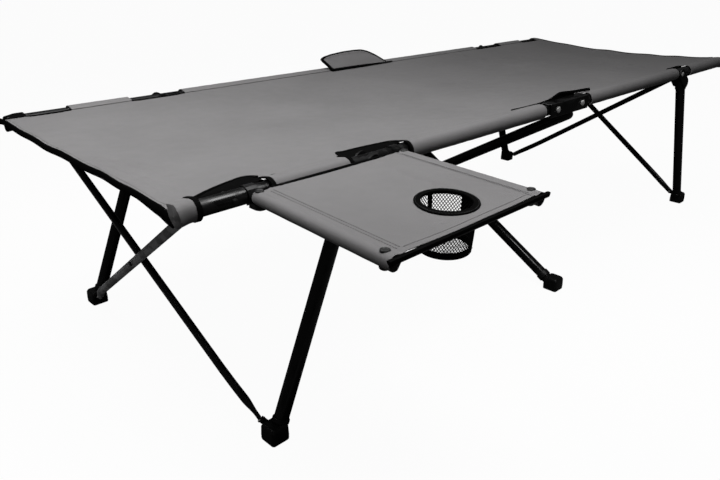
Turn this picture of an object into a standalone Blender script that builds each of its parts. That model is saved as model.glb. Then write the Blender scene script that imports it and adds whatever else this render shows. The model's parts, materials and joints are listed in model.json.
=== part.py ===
"""Folding camping cot with a swing-out side table.

Two pairs of rails are hinged at the middle in a bracket on each long side. A pair of crossed
legs joins the brackets, an inclined leg hangs from each rail, and crossed braces join each
end's legs to the opposite rails. The deck is cloth with sleeves round the rails. Lengths are
in metres, +Z is up, +X runs along the cot and the side table is at -Y.
"""

import math

import bmesh
import bpy
from mathutils import Matrix, Vector

# Driving dimensions of the frame
HALF_LENGTH = 0.965          # middle of the cot to a rail's tip
HALF_WIDTH = 0.335           # middle of the cot to a rail's axis
RAIL_HEIGHT = 0.4435         # floor to a rail's axis
RAIL_RADIUS = 0.0125
LEG_RADIUS = 0.0125
BRACE_RADIUS = 0.008
TUBE_WALL = 0.0012
FIT = 0.0003                 # clearance between touching pieces
RUNNING_GAP = 0.0005         # clearance beside a piece that turns
BOLT_RADIUS = 0.003
RIVET_RADIUS = 0.0025
HINGE_BOLT_HEAD = (0.0072, 0.0034)       # radius and height of each head or nut
HINGE_BOLT_NUT = (0.0052, 0.0032)
KNUCKLE_BOLT_HEAD = (0.0062, 0.0028)
KNUCKLE_BOLT_NUT = (0.0050, 0.0028)
LEG_PIN_HEAD = (0.0050, 0.0016)
CROSSING_PIN_HEAD = (0.0062, 0.0022)
BRACE_RIVET_HEAD = (0.0050, 0.0018)
SWIVEL_STUD_HEAD = (0.0052, 0.0022)
TABLE_RIVET_HEAD = (0.0052, 0.0016)
TABLE_RIVET_FOOT = (0.0048, 0.0018)
CUTTER_REACH = 0.1           # how far a cutter runs past what it cuts

# Middle hinge brackets
HINGE_X = 0.0535             # middle of the cot to a rail's hinge bolt
BRACKET_PLATE = 0.0025
BRACKET_HALF_LENGTH = 0.0815
BRACKET_DROP = 0.0155        # how far the plates reach below the rail's axis
BRACKET_LEG_OPENING = 0.031  # half of the gap between the inner plates
BRACKET_EAR_DROP = 0.0125    # how far the ears reach below the rail's axis

# Crossed middle legs
LANE_X = 0.014               # each middle leg's own plane beside the middle
CROSSING_HEIGHT = 0.2386     # floor to the pivot where the middle legs cross
MIDDLE_FOOT_Y = 0.374        # middle of the cot to a middle boot

# End legs and their knuckles
LEG_TOP_X = 0.660            # where the leg's axis meets the height of the rail
LEG_FOOT_X = 0.845           # where the leg's axis meets the floor
KNUCKLE_BOLT_X = 0.630
KNUCKLE_ROUND = 0.014
KNUCKLE_CHEEK = 0.0035
SOCKET_WALL = 0.002
SOCKET_START = 0.034         # along the leg from the point abreast of the knuckle's bolt
SOCKET_LENGTH = 0.030

# Boots
BOOT_WIDTH = 0.040
BOOT_HEIGHT = 0.041
TUBE_END_HEIGHT = 0.0165     # floor to the centre of a leg's round lower end
EAR_THICKNESS = 0.0030
EAR_HALF_HEIGHT = 0.006
EAR_OVERLAP = 0.006          # how far an ear runs into its boot
EAR_REACH = 0.007            # how far an ear runs past a brace's pivot
BOOT_TAPER = 0.0015

# End braces
BRACE_INSET = 0.029          # a leg's or rail's axis to the brace's pivots
BRACE_TOP_X = 0.900
BRACE_FOOT_X = 0.852
BRACE_FOOT_HEIGHT = 0.026
BRACE_BOW = 0.0115           # how far the braces' crossing stands outboard of their pivots
BRACE_LANE = 0.0085          # each brace's own side of the crossing
BRACE_STRAIGHT = 0.062       # from a pivot to where the brace has reached its lane
TONGUE_THICKNESS = 0.005
TONGUE_RADIUS = 0.007
TONGUE_LENGTH = 0.014
SWIVEL_RADIUS = 0.008
SWIVEL_PLATE = 0.0030
SWIVEL_EAR = 0.0022
SWIVEL_EAR_HALF = 0.0055
BRACE_BENDS = ((0.0105, 0.0), (0.022, 0.0), (0.034, 0.15), (0.051, 0.85), (BRACE_STRAIGHT, 1.0))

# Cloth deck
SLEEVE_WALL = 0.0014
SLEEVE_UPPER_ANGLE = 50.0    # degrees round the rail where the panel's upper face leaves the sleeve
SLEEVE_LOWER_ANGLE = 40.5
DECK_SAG = 0.012
DECK_SPLIT_X = 0.0850        # middle of the cot to the line where a rail's stretch of deck starts
SLEEVE_START_X = 0.100       # middle of the cot to the first sleeve
CUTOUT_DEPTH = 0.045         # how far a cut-out reaches in from the rail's axis
NEAR_CUTOUTS = ((0.855, 0.955), (0.553, 0.704))
FAR_CUTOUTS = ((0.841, 0.940), (0.560, 0.703))
FLAP_X = (-0.141, 0.111)
FLAP_TOP = 0.4970
FLAP_THICKNESS = 0.003

# Side table
TABLE_PIVOT_Y = -0.361
TABLE_PIVOT_X = (-0.868, -0.570)
TABLE_TUBE_RADIUS = 0.008
TABLE_TUBE_WALL = 0.0010
TABLE_TUBE_HEIGHT = 0.4445
TABLE_REACH = (-0.018, -0.254)   # from an inner pivot to the outer rivet of the same tube
TONGUE_PLATE = 0.0072
CLAMP_HALF_WIDTH = 0.009
EDGE_BAR_FLANGE = (0.609, 0.638)
EDGE_BAR_RIM = 0.0080
EDGE_BAR_RIM_TOP = 0.4490
EDGE_BAR_OVERHANG = 0.012
TABLE_CLOTH = 0.0016
TABLE_CLOTH_Y = (-0.3595, -0.626)
TABLE_CLOTH_OVERLAP = 0.011      # how far the cloth reaches past a tube's axis
CUP_CENTRE = (-0.710, -0.562)
CUP_RADIUS = 0.0475
CUP_RING_WIDTH = 0.005
CUP_RING_THICKNESS = 0.0014
POCKET_DEPTH = 0.060
POCKET_WALL = 0.0015
POCKET_FLOOR_RADIUS = 0.035
NET_PITCH = 0.0118
NET_HOLE = 0.0088

SIDES = (("near", -1.0), ("far", 1.0))
ENDS = (("left", -1.0), ("right", 1.0))
TUBE_STEPS = 16              # sides of a tube
BORE_STEPS = 10
BOLT_STEPS = 12
CUP_STEPS = 28
DECK_STEPS = 9               # flats across the deck's sag
SLEEVE_STEPS = 11

# Turns an outline's own plane so that it faces along the cot, its first axis across and its second up
FACE_ALONG = Matrix(((0, 0, 1, 0), (1, 0, 0, 0), (0, 1, 0, 0), (0, 0, 0, 1)))

parts = bpy.data.collections.new("camping_cot")
cutters = bpy.data.collections.new("cutters")


def start_scene():
    """Empties the scene and links the collections of the parts and of the cutters."""
    for obj in list(bpy.data.objects):
        bpy.data.objects.remove(obj, do_unlink=True)
    bpy.context.scene.collection.children.link(parts)
    bpy.context.scene.collection.children.link(cutters)


def finish(name, colour, roughness, metallic):
    """One Principled material."""
    material = bpy.data.materials.new(name)
    material.use_nodes = True
    shader = material.node_tree.nodes["Principled BSDF"]
    shader.inputs["Base Color"].default_value = (*colour, 1.0)
    shader.inputs["Roughness"].default_value = roughness
    shader.inputs["Metallic"].default_value = metallic
    return material


def black_paint(name):
    return finish(name, (0.012, 0.012, 0.013), 0.35, 0.4)


def black_plastic(name):
    return finish(name, (0.010, 0.010, 0.011), 0.55, 0.0)


def zinc(name):
    return finish(name, (0.55, 0.55, 0.56), 0.3, 1.0)


def grey_cloth(name):
    return finish(name, (0.17, 0.17, 0.175), 0.85, 0.0)


def black_cloth(name):
    return finish(name, (0.012, 0.012, 0.012), 0.8, 0.0)


class Pivot:
    """An empty on a joint's axis; what turns with the joint hangs from it."""

    def __init__(self, name, at, parent=None):
        self.at = Vector(at)
        self.empty = bpy.data.objects.new(name, None)
        self.empty.empty_display_size = 0.02
        parts.objects.link(self.empty)
        if parent is None:
            self.empty.location = self.at
        else:
            self.empty.parent = parent.empty
            self.empty.location = self.at - parent.at


def shade(mesh):
    mesh.shade_smooth()
    mesh.set_sharp_from_angle(angle=math.radians(35))


def mesh_object(name, mesh, at, parent, make_finish):
    """A sub-part with its origin at a point of the cot, hung from a pivot."""
    obj = bpy.data.objects.new(name, mesh)
    parts.objects.link(obj)
    shade(mesh)
    mesh.materials.clear()
    mesh.materials.append(make_finish(name))
    obj.parent = parent.empty
    obj.location = Vector(at) - parent.at
    return obj


def cutter_object(name, mesh, at, parent):
    obj = bpy.data.objects.new(name, mesh)
    cutters.objects.link(obj)
    obj.parent = parent.empty
    obj.location = Vector(at) - parent.at
    obj.hide_render = True
    obj.display_type = "WIRE"
    return obj


def combine(obj, other, operation):
    """Adds an exact Boolean with another mesh object."""
    modifier = obj.modifiers.new(f"{operation.title()} {other.name}", "BOOLEAN")
    modifier.operation = operation
    modifier.solver = "EXACT"
    modifier.object = other
    return obj


def cut(obj, mesh, at, parent, label):
    return combine(obj, cutter_object(f"{obj.name}_{label}", mesh, at, parent), "DIFFERENCE")


def join(obj, mesh, at, parent, label):
    return combine(obj, cutter_object(f"{obj.name}_{label}", mesh, at, parent), "UNION")


def aim(mesh, direction):
    """Turns a mesh that was made along +Z so that it lies along a direction."""
    turn = Vector((0.0, 0.0, 1.0)).rotation_difference(Vector(direction).normalized())
    mesh.transform(turn.to_matrix().to_4x4())
    return mesh


def turned(profile, steps=TUBE_STEPS):
    """A solid of revolution about Z from (radius, height) points that run from top to bottom."""
    mesh = bpy.data.meshes.new("profile")
    points = [(radius, 0.0, height) for radius, height in profile]
    edges = [(i, i + 1) for i in range(len(points) - 1)]
    mesh.from_pydata(points, edges, [])
    obj = bpy.data.objects.new("profile", mesh)
    bpy.context.scene.collection.objects.link(obj)
    screw = obj.modifiers.new("Turn", "SCREW")
    screw.steps = steps
    screw.render_steps = steps
    screw.use_merge_vertices = True
    screw.merge_threshold = 0.00005
    solid = evaluated(obj)
    bpy.data.objects.remove(obj)
    bpy.data.meshes.remove(mesh)
    return solid


def evaluated(obj):
    """The object's evaluated mesh, welded and facing out."""
    graph = bpy.context.evaluated_depsgraph_get()
    graph.update()
    mesh = bpy.data.meshes.new_from_object(obj.evaluated_get(graph))
    mesh.transform(obj.matrix_world)
    shell = bmesh.new()
    shell.from_mesh(mesh)
    bmesh.ops.remove_doubles(shell, verts=shell.verts, dist=0.00001)
    bmesh.ops.recalc_face_normals(shell, faces=shell.faces)
    shell.to_mesh(mesh)
    shell.free()
    return mesh


def capsule_mesh(length, radius, steps=TUBE_STEPS, arc=3):
    """A rod with round ends whose end centres are at the origin and at +Z times its length."""
    quarter = [math.pi / 2 * i / arc for i in range(arc + 1)]
    top = [(radius * math.sin(a), length + radius * math.cos(a)) for a in quarter]
    bottom = [(radius * math.cos(a), -radius * math.sin(a)) for a in quarter]
    return turned(top + bottom, steps)


def cylinder_mesh(radius, length, steps=BOLT_STEPS):
    """A plain rod centred on the origin, along Z, its flats turned off those of the tubes."""
    shell = bmesh.new()
    turn = Matrix.Rotation(math.pi / steps / 3, 4, "Z")
    bmesh.ops.create_cone(
        shell, cap_ends=True, segments=steps, radius1=radius, radius2=radius, depth=length, matrix=turn
    )
    mesh = bpy.data.meshes.new("cylinder")
    shell.to_mesh(mesh)
    shell.free()
    return mesh


def box_mesh(low, high):
    """A box between two corners."""
    shell = bmesh.new()
    bmesh.ops.create_cube(shell, size=1.0)
    low, high = Vector(low), Vector(high)
    size = high - low
    bmesh.ops.scale(shell, vec=size, verts=shell.verts)
    bmesh.ops.translate(shell, vec=(low + high) / 2, verts=shell.verts)
    mesh = bpy.data.meshes.new("box")
    shell.to_mesh(mesh)
    shell.free()
    return mesh


def outline_mesh(outlines, depth, frame=None):
    """A flat outline, with any holes, extruded to both sides of its own plane."""
    curve = bpy.data.curves.new("outline", "CURVE")
    curve.dimensions = "2D"
    curve.fill_mode = "BOTH"
    curve.extrude = depth / 2
    for outline in outlines:
        spline = curve.splines.new("POLY")
        spline.points.add(len(outline) - 1)
        for point, (x, y) in zip(spline.points, outline):
            point.co = (x, y, 0.0, 1.0)
        spline.use_cyclic_u = True
    obj = bpy.data.objects.new("outline", curve)
    bpy.context.scene.collection.objects.link(obj)
    bpy.context.view_layer.update()
    mesh = evaluated(obj)
    bpy.data.objects.remove(obj)
    bpy.data.curves.remove(curve)
    if frame is not None:
        mesh.transform(frame)
    return mesh


def arc_points(centre, radius, start, end, count):
    """Points on an arc, with angles in degrees."""
    angles = [math.radians(start + (end - start) * i / count) for i in range(count + 1)]
    return [(centre[0] + radius * math.cos(a), centre[1] + radius * math.sin(a)) for a in angles]


def slot_outline(a, b, radius, count=8):
    """A stadium outline round two points."""
    heading = math.degrees(math.atan2(b[1] - a[1], b[0] - a[0]))
    first = arc_points(a, radius, heading + 90, heading + 270, count)
    second = arc_points(b, radius, heading - 90, heading + 90, count)
    return first + second


def path_tube(points, radius, sides=1):
    """A bent rod along points, with flat caps."""
    curve = bpy.data.curves.new("path", "CURVE")
    curve.dimensions = "3D"
    curve.bevel_depth = radius
    curve.bevel_resolution = sides
    curve.use_fill_caps = True
    spline = curve.splines.new("POLY")
    spline.points.add(len(points) - 1)
    for point, place in zip(spline.points, points):
        point.co = (*place, 1.0)
    obj = bpy.data.objects.new("path", curve)
    bpy.context.scene.collection.objects.link(obj)
    bpy.context.view_layer.update()
    mesh = evaluated(obj)
    bpy.data.objects.remove(obj)
    bpy.data.curves.remove(curve)
    return mesh


def bevel(obj, width, segments=2):
    """Rounded edges; it goes on before any Boolean."""
    modifier = obj.modifiers.new("Rounded edges", "BEVEL")
    modifier.width = width
    modifier.segments = segments
    modifier.limit_method = "ANGLE"


def hollow_tube(name, start, end, radius, wall, parent, make_finish):
    """A round-ended tube; its cross holes open the bore."""
    start, end = Vector(start), Vector(end)
    length = (end - start).length
    obj = mesh_object(name, aim(capsule_mesh(length, radius), end - start), start, parent, make_finish)
    bore = aim(capsule_mesh(length, radius - wall, BORE_STEPS, 1), end - start)
    return cut(obj, bore, start, parent, "bore")


def cross_hole(obj, centre, axis, radius, length, parent, label):
    return cut(obj, aim(cylinder_mesh(radius, length), axis), centre, parent, label)


def bolt_mesh(grip, head, nut):
    """A bolt along +Z: its grip runs from the origin, the head is below and the nut above."""
    head_radius, head_height = head
    nut_radius, nut_height = nut
    profile = [
        (0.0, grip + nut_height),
        (nut_radius, grip + nut_height),
        (nut_radius, grip),
        (BOLT_RADIUS, grip),
        (BOLT_RADIUS, 0.0),
        (head_radius, 0.0),
        (head_radius * 0.98, -head_height * 0.45),
        (head_radius * 0.72, -head_height * 0.85),
        (0.0, -head_height),
    ]
    return turned(profile, BOLT_STEPS)


def bracket_part(side, sign, root):
    """Middle hinge bracket: a channel open downwards, with two ears for a middle leg's pin."""
    y = sign * HALF_WIDTH
    inside = RAIL_RADIUS + RUNNING_GAP
    outside = inside + BRACKET_PLATE
    web_low = RAIL_RADIUS + FIT
    web_high = web_low + BRACKET_PLATE
    low = (-BRACKET_HALF_LENGTH, -outside, -BRACKET_DROP)
    high = (BRACKET_HALF_LENGTH, outside, web_high)
    obj = mesh_object(f"{side}_hinge_bracket", box_mesh(low, high), (0.0, y, RAIL_HEIGHT), root, black_paint)
    bevel(obj, 0.0012)
    channel = box_mesh((-CUTTER_REACH, -inside, -CUTTER_REACH), (CUTTER_REACH, inside, web_low))
    cut(obj, channel, (0.0, y, RAIL_HEIGHT), root, "channel")
    inner_low, inner_high = sorted((-sign * inside * 0.9, -sign * outside * 1.5))
    opening = box_mesh(
        (-BRACKET_LEG_OPENING, inner_low, -CUTTER_REACH), (BRACKET_LEG_OPENING, inner_high, web_low)
    )
    cut(obj, opening, (0.0, y, RAIL_HEIGHT), root, "leg_opening")
    lane = -sign * LANE_X
    for label, face in (("first", -1.0), ("second", 1.0)):
        near_face = lane + face * (LEG_RADIUS + RUNNING_GAP)
        low_face, high_face = sorted((near_face, near_face + face * BRACKET_PLATE))
        overlap = BRACKET_PLATE * 0.4
        ear = box_mesh(
            (low_face, -inside - overlap, -BRACKET_EAR_DROP), (high_face, inside + overlap, web_low + overlap)
        )
        join(obj, ear, (0.0, y, RAIL_HEIGHT), root, f"{label}_ear")
    for end, direction in ENDS:
        centre = (direction * HINGE_X, y, RAIL_HEIGHT)
        cross_hole(obj, centre, (0, 1, 0), BOLT_RADIUS + FIT, 0.06, root, f"{end}_bolt_hole")
    cross_hole(obj, (lane, y, RAIL_HEIGHT), (1, 0, 0), BOLT_RADIUS + FIT, 0.036, root, "pin_hole")
    return obj


def bracket_bolts(side, sign, root):
    """The two hinge bolts of a bracket, with their heads outside."""
    grip = 2 * (RAIL_RADIUS + RUNNING_GAP + BRACKET_PLATE + FIT)
    for end, direction in ENDS:
        mesh = aim(bolt_mesh(grip, HINGE_BOLT_HEAD, HINGE_BOLT_NUT), (0, -sign, 0))
        at = (direction * HINGE_X, sign * (HALF_WIDTH + grip / 2), RAIL_HEIGHT)
        mesh_object(f"{end}_{side}_hinge_bolt", mesh, at, root, zinc)


def leg_pin(side, sign, root):
    """The pin that a middle leg turns on, along X through the bracket's ears."""
    reach = LEG_RADIUS + RUNNING_GAP + BRACKET_PLATE + FIT
    mesh = aim(bolt_mesh(2 * reach, LEG_PIN_HEAD, LEG_PIN_HEAD), (1, 0, 0))
    at = (-sign * LANE_X - reach, sign * HALF_WIDTH, RAIL_HEIGHT)
    mesh_object(f"{side}_middle_leg_pin", mesh, at, root, zinc)


def middle_leg_end(sign):
    """Centre of a middle leg's round lower end; its upper end is on the side given by sign."""
    slope = HALF_WIDTH / (RAIL_HEIGHT - CROSSING_HEIGHT)
    return Vector((-sign * LANE_X, -sign * (CROSSING_HEIGHT - TUBE_END_HEIGHT) * slope, TUBE_END_HEIGHT))


def middle_leg(side, sign, pivot):
    """A middle leg from its bracket on one side to the boot on the other."""
    top = (-sign * LANE_X, sign * HALF_WIDTH, RAIL_HEIGHT)
    name = f"middle_leg_from_{side}_rail"
    leg = hollow_tube(name, top, middle_leg_end(sign), LEG_RADIUS, TUBE_WALL, pivot, black_paint)
    cross_hole(leg, top, (1, 0, 0), BOLT_RADIUS + FIT, 0.05, pivot, "pin_hole")
    crossing = (-sign * LANE_X, 0.0, CROSSING_HEIGHT)
    cross_hole(leg, crossing, (1, 0, 0), BOLT_RADIUS + FIT, 0.05, pivot, "crossing_hole")


def crossing_pin(pivot):
    """The pin at the crossing, with a collar that keeps the two legs apart."""
    outer = LANE_X + LEG_RADIUS + FIT
    collar = LANE_X - LEG_RADIUS - FIT
    radius, head = CROSSING_PIN_HEAD
    half = [
        (0.0, outer + head),
        (radius * 0.8, outer + head),
        (radius, outer + head * 0.4),
        (radius, outer),
        (BOLT_RADIUS, outer),
        (BOLT_RADIUS, collar),
        (radius * 1.13, collar),
    ]
    profile = half + [(distance, -height) for distance, height in reversed(half)]
    mesh = aim(turned(profile, BOLT_STEPS), (1, 0, 0))
    mesh_object("middle_leg_crossing_pin", mesh, (0.0, 0.0, CROSSING_HEIGHT), pivot, zinc)


def boot_block(name, at, pivot):
    """A boot's block, flat underneath and a little narrower above."""
    half = BOOT_WIDTH / 2
    shell = bmesh.new()
    bmesh.ops.create_cube(shell, size=1.0)
    bmesh.ops.scale(shell, vec=(BOOT_WIDTH, BOOT_WIDTH, BOOT_HEIGHT), verts=shell.verts)
    bmesh.ops.translate(shell, vec=(0.0, 0.0, BOOT_HEIGHT / 2), verts=shell.verts)
    for vert in shell.verts:
        if vert.co.z > BOOT_HEIGHT / 2:
            vert.co.x *= (half - BOOT_TAPER) / half
            vert.co.y *= (half - BOOT_TAPER) / half
    mesh = bpy.data.meshes.new(name)
    shell.to_mesh(mesh)
    shell.free()
    obj = mesh_object(name, mesh, at, pivot, black_plastic)
    bevel(obj, 0.003)
    return obj


def middle_boot(side, sign, pivot):
    """The boot on a middle leg that starts at the opposite rail."""
    foot = (sign * LANE_X, sign * MIDDLE_FOOT_Y, 0.0)
    boot = boot_block(f"{side}_middle_boot", foot, pivot)
    end = middle_leg_end(-sign)
    top = Vector((sign * LANE_X, -sign * HALF_WIDTH, RAIL_HEIGHT))
    socket = aim(capsule_mesh(CUTTER_REACH, LEG_RADIUS + FIT), top - end)
    cut(boot, socket, end, pivot, "socket")


def rail_point(direction, x, sign):
    return Vector((direction * x, sign * HALF_WIDTH, RAIL_HEIGHT))


def rail(end, direction, side, sign, pivot):
    """A rail from its hinge bolt to its tip."""
    start = rail_point(direction, HINGE_X, sign)
    tip = rail_point(direction, HALF_LENGTH - RAIL_RADIUS, sign)
    tube = hollow_tube(f"{end}_{side}_rail", start, tip, RAIL_RADIUS, TUBE_WALL, pivot, black_paint)
    holes = (
        ("hinge", HINGE_X, BOLT_RADIUS),
        ("knuckle", KNUCKLE_BOLT_X, BOLT_RADIUS),
        ("brace", BRACE_TOP_X, RIVET_RADIUS),
    )
    for label, x, radius in holes:
        cross_hole(tube, rail_point(direction, x, sign), (0, 1, 0), radius + FIT, 0.05, pivot, f"{label}_hole")
    return tube


class EndLeg:
    """Places along one end leg, worked out from the driving dimensions."""

    def __init__(self, direction, sign):
        self.sign = sign
        self.direction = direction
        self.bolt = rail_point(direction, KNUCKLE_BOLT_X, sign)
        top = Vector((direction * LEG_TOP_X, sign * HALF_WIDTH, RAIL_HEIGHT))
        foot = Vector((direction * LEG_FOOT_X, sign * HALF_WIDTH, 0.0))
        self.down = (foot - top).normalized()
        self.abreast = top + self.down * (self.bolt - top).dot(self.down)
        self.end = top + self.down * ((TUBE_END_HEIGHT - RAIL_HEIGHT) / self.down.z)
        self.foot = foot

    def along(self, distance):
        return self.abreast + self.down * distance


def end_leg(end, direction, side, sign, pivot):
    """The inclined tube between a knuckle and a boot."""
    leg = EndLeg(direction, sign)
    start = leg.along(SOCKET_START + LEG_RADIUS * 0.6)
    tube = hollow_tube(f"{end}_{side}_leg", start, leg.end, LEG_RADIUS, TUBE_WALL, pivot, black_paint)
    vent = leg.along(SOCKET_START + SOCKET_LENGTH * 0.62)
    cross_hole(tube, vent, (0, 1, 0), RIVET_RADIUS, 0.05, pivot, "rivet_hole")


def knuckle(end, direction, side, sign, pivot):
    """Plastic knuckle: two cheeks astride the rail and a socket for the leg's top."""
    leg = EndLeg(direction, sign)
    inner = RAIL_RADIUS + RUNNING_GAP
    outer = inner + KNUCKLE_CHEEK
    socket_middle = leg.along(SOCKET_START + SOCKET_LENGTH / 3) - leg.bolt
    outline = slot_outline((0.0, 0.0), (socket_middle.x, socket_middle.z), KNUCKLE_ROUND)
    stand = Matrix.Rotation(math.pi / 2, 4, "X")
    block = outline_mesh([outline], 2 * outer, stand)
    obj = mesh_object(f"{end}_{side}_knuckle", block, leg.bolt, pivot, black_plastic)
    reach = CUTTER_REACH
    slot = box_mesh((-reach, -inner, -reach), (reach, inner, reach))
    cut(obj, slot, leg.bolt, pivot, "rail_slot")
    socket = aim(cylinder_mesh(LEG_RADIUS + SOCKET_WALL + FIT, SOCKET_LENGTH, TUBE_STEPS), leg.down)
    join(obj, socket, leg.along(SOCKET_START + SOCKET_LENGTH / 2), pivot, "socket")
    bore = aim(capsule_mesh(CUTTER_REACH, LEG_RADIUS + FIT), leg.down)
    cut(obj, bore, leg.along(SOCKET_START + LEG_RADIUS * 0.6), pivot, "leg_bore")
    cross_hole(obj, leg.bolt, (0, 1, 0), BOLT_RADIUS + FIT, 0.06, pivot, "bolt_hole")
    grip = 2 * (outer + FIT)
    bolt = aim(bolt_mesh(grip, KNUCKLE_BOLT_HEAD, KNUCKLE_BOLT_NUT), (0, -sign, 0))
    at = leg.bolt + Vector((0.0, sign * grip / 2, 0.0))
    mesh_object(f"{end}_{side}_knuckle_bolt", bolt, at, pivot, zinc)


def brace_frame(direction):
    """Directions of an end's brace plane: up along it, and its outboard normal."""
    foot = Vector((direction * BRACE_FOOT_X, 0.0, BRACE_FOOT_HEIGHT))
    top = Vector((direction * BRACE_TOP_X, 0.0, RAIL_HEIGHT))
    up = (top - foot).normalized()
    normal = Vector((direction * up.z, 0.0, -direction * up.x))
    return foot, top, up, normal


def end_boot(end, direction, side, sign, pivot):
    """An end leg's boot, with an ear on its inner face for a brace."""
    leg = EndLeg(direction, sign)
    boot = boot_block(f"{end}_{side}_boot", leg.foot, pivot)
    foot, _, up, normal = brace_frame(direction)
    face = -normal * (TONGUE_THICKNESS / 2 + FIT + EAR_THICKNESS / 2)
    centre = foot + face + Vector((0.0, sign * (HALF_WIDTH - BRACE_INSET), 0.0))
    reach = BRACE_INSET - BOOT_WIDTH / 2 + EAR_OVERLAP
    turn = Matrix((normal, Vector((0.0, 1.0, 0.0)), up)).transposed().to_4x4()
    half = EAR_THICKNESS / 2
    inner, outer = sorted((-sign * EAR_REACH, sign * reach))
    ear = box_mesh((-half, inner, -EAR_HALF_HEIGHT), (half, outer, EAR_HALF_HEIGHT))
    ear.transform(turn)
    join(boot, ear, centre, pivot, "ear")
    socket = aim(capsule_mesh(CUTTER_REACH, LEG_RADIUS + FIT), -leg.down)
    cut(boot, socket, leg.end, pivot, "socket")


def brace_swivel(end, direction, side, sign, pivot):
    """A stud through the rail, with a plate and two ears that hold a brace's pin."""
    _, top, up, normal = brace_frame(direction)
    across = Vector((0.0, sign, 0.0))
    centre = top + across * (HALF_WIDTH - BRACE_INSET)
    plate_from = BRACE_INSET - RAIL_RADIUS - FIT
    plate_to = plate_from - SWIVEL_PLATE
    outside = BRACE_INSET + RAIL_RADIUS + FIT
    radius, head = SWIVEL_STUD_HEAD
    profile = [
        (0.0, outside + head),
        (radius * 0.6, outside + head),
        (radius, outside + head * 0.35),
        (radius, outside),
        (RIVET_RADIUS, outside),
        (RIVET_RADIUS, plate_from),
        (SWIVEL_RADIUS, plate_from),
        (SWIVEL_RADIUS, plate_to),
        (0.0, plate_to),
    ]
    stud = aim(turned(profile, BOLT_STEPS), across)
    obj = mesh_object(f"{end}_{side}_brace_swivel", stud, centre, pivot, black_paint)
    turn = Matrix((normal, across, normal.cross(across))).transposed().to_4x4()
    ear_gap = TONGUE_THICKNESS / 2 + FIT
    for label, face in (("outboard", 1.0), ("inboard", -1.0)):
        low, high = sorted((face * ear_gap, face * (ear_gap + SWIVEL_EAR)))
        half = SWIVEL_EAR_HALF
        ear = box_mesh((low, -half, -half), (high, plate_from - SWIVEL_PLATE / 4, half))
        ear.transform(turn)
        join(obj, ear, centre, pivot, f"{label}_ear")
    pin = aim(cylinder_mesh(RIVET_RADIUS, 2 * (ear_gap + SWIVEL_EAR + RUNNING_GAP)), normal)
    join(obj, pin, centre, pivot, "pin")


def brace(end, direction, side, sign, lane, pivot):
    """A brace from the swivel on one side's rail down to the boot on the other side."""
    foot, top, up, normal = brace_frame(direction)
    across = Vector((0.0, sign, 0.0))
    span = HALF_WIDTH - BRACE_INSET
    upper = top + across * span
    lower = foot - across * span
    down = (lower - upper).normalized()
    length = (lower - upper).length
    offset = normal * (BRACE_BOW + lane)

    def at(distance, share):
        return upper + down * distance + offset * share

    stations = list(BRACE_BENDS)
    stations.append((length / 2, 1.0))
    stations += [(length - distance, share) for distance, share in reversed(BRACE_BENDS)]
    points = [at(distance, share) - upper for distance, share in stations]
    name = f"{end}_brace_from_{side}_rail"
    obj = mesh_object(name, path_tube(points, BRACE_RADIUS), upper, pivot, black_paint)
    plug = down * TUBE_WALL * 1.7
    bore_points = [points[0] + plug] + points[1:-1] + [points[-1] - plug]
    cut(obj, path_tube(bore_points, BRACE_RADIUS - TUBE_WALL, 1), upper, pivot, "bore")
    turn = Matrix((down, normal.cross(down), normal)).transposed().to_4x4()
    outline = slot_outline((0.0, 0.0), (TONGUE_LENGTH, 0.0), TONGUE_RADIUS)
    for label, place, heading in (("upper", Vector(), 1.0), ("lower", lower - upper, -1.0)):
        tongue = outline_mesh([outline], TONGUE_THICKNESS)
        if heading < 0:
            tongue.transform(Matrix.Rotation(math.pi, 4, "Z"))
        tongue.transform(turn)
        tongue.transform(Matrix.Translation(place))
        join(obj, tongue, upper, pivot, f"{label}_tongue")
    cross_hole(obj, upper, normal, RIVET_RADIUS + FIT, 0.02, pivot, "pin_hole")
    middle = upper + down * (length / 2) + offset
    cross_hole(obj, middle, normal, RIVET_RADIUS + FIT, 0.03, pivot, "crossing_hole")
    if lane > 0:
        brace_rivet(end, middle, normal, pivot)


def brace_rivet(end, middle, normal, pivot):
    """The rivet where an end's braces cross. It stays with the outboard brace and ends between
    the two, because in the fold the braces slide a little past each other."""
    face = BRACE_RADIUS + FIT
    radius, head = BRACE_RIVET_HEAD
    profile = [
        (0.0, face + head),
        (radius * 0.7, face + head),
        (radius, face + head * 0.3),
        (radius, face),
        (RIVET_RADIUS, face),
        (RIVET_RADIUS, -face),
        (0.0, -face),
    ]
    rivet = aim(turned(profile, BOLT_STEPS), normal)
    mesh_object(f"{end}_brace_crossing_rivet", rivet, middle, pivot, zinc)


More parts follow.
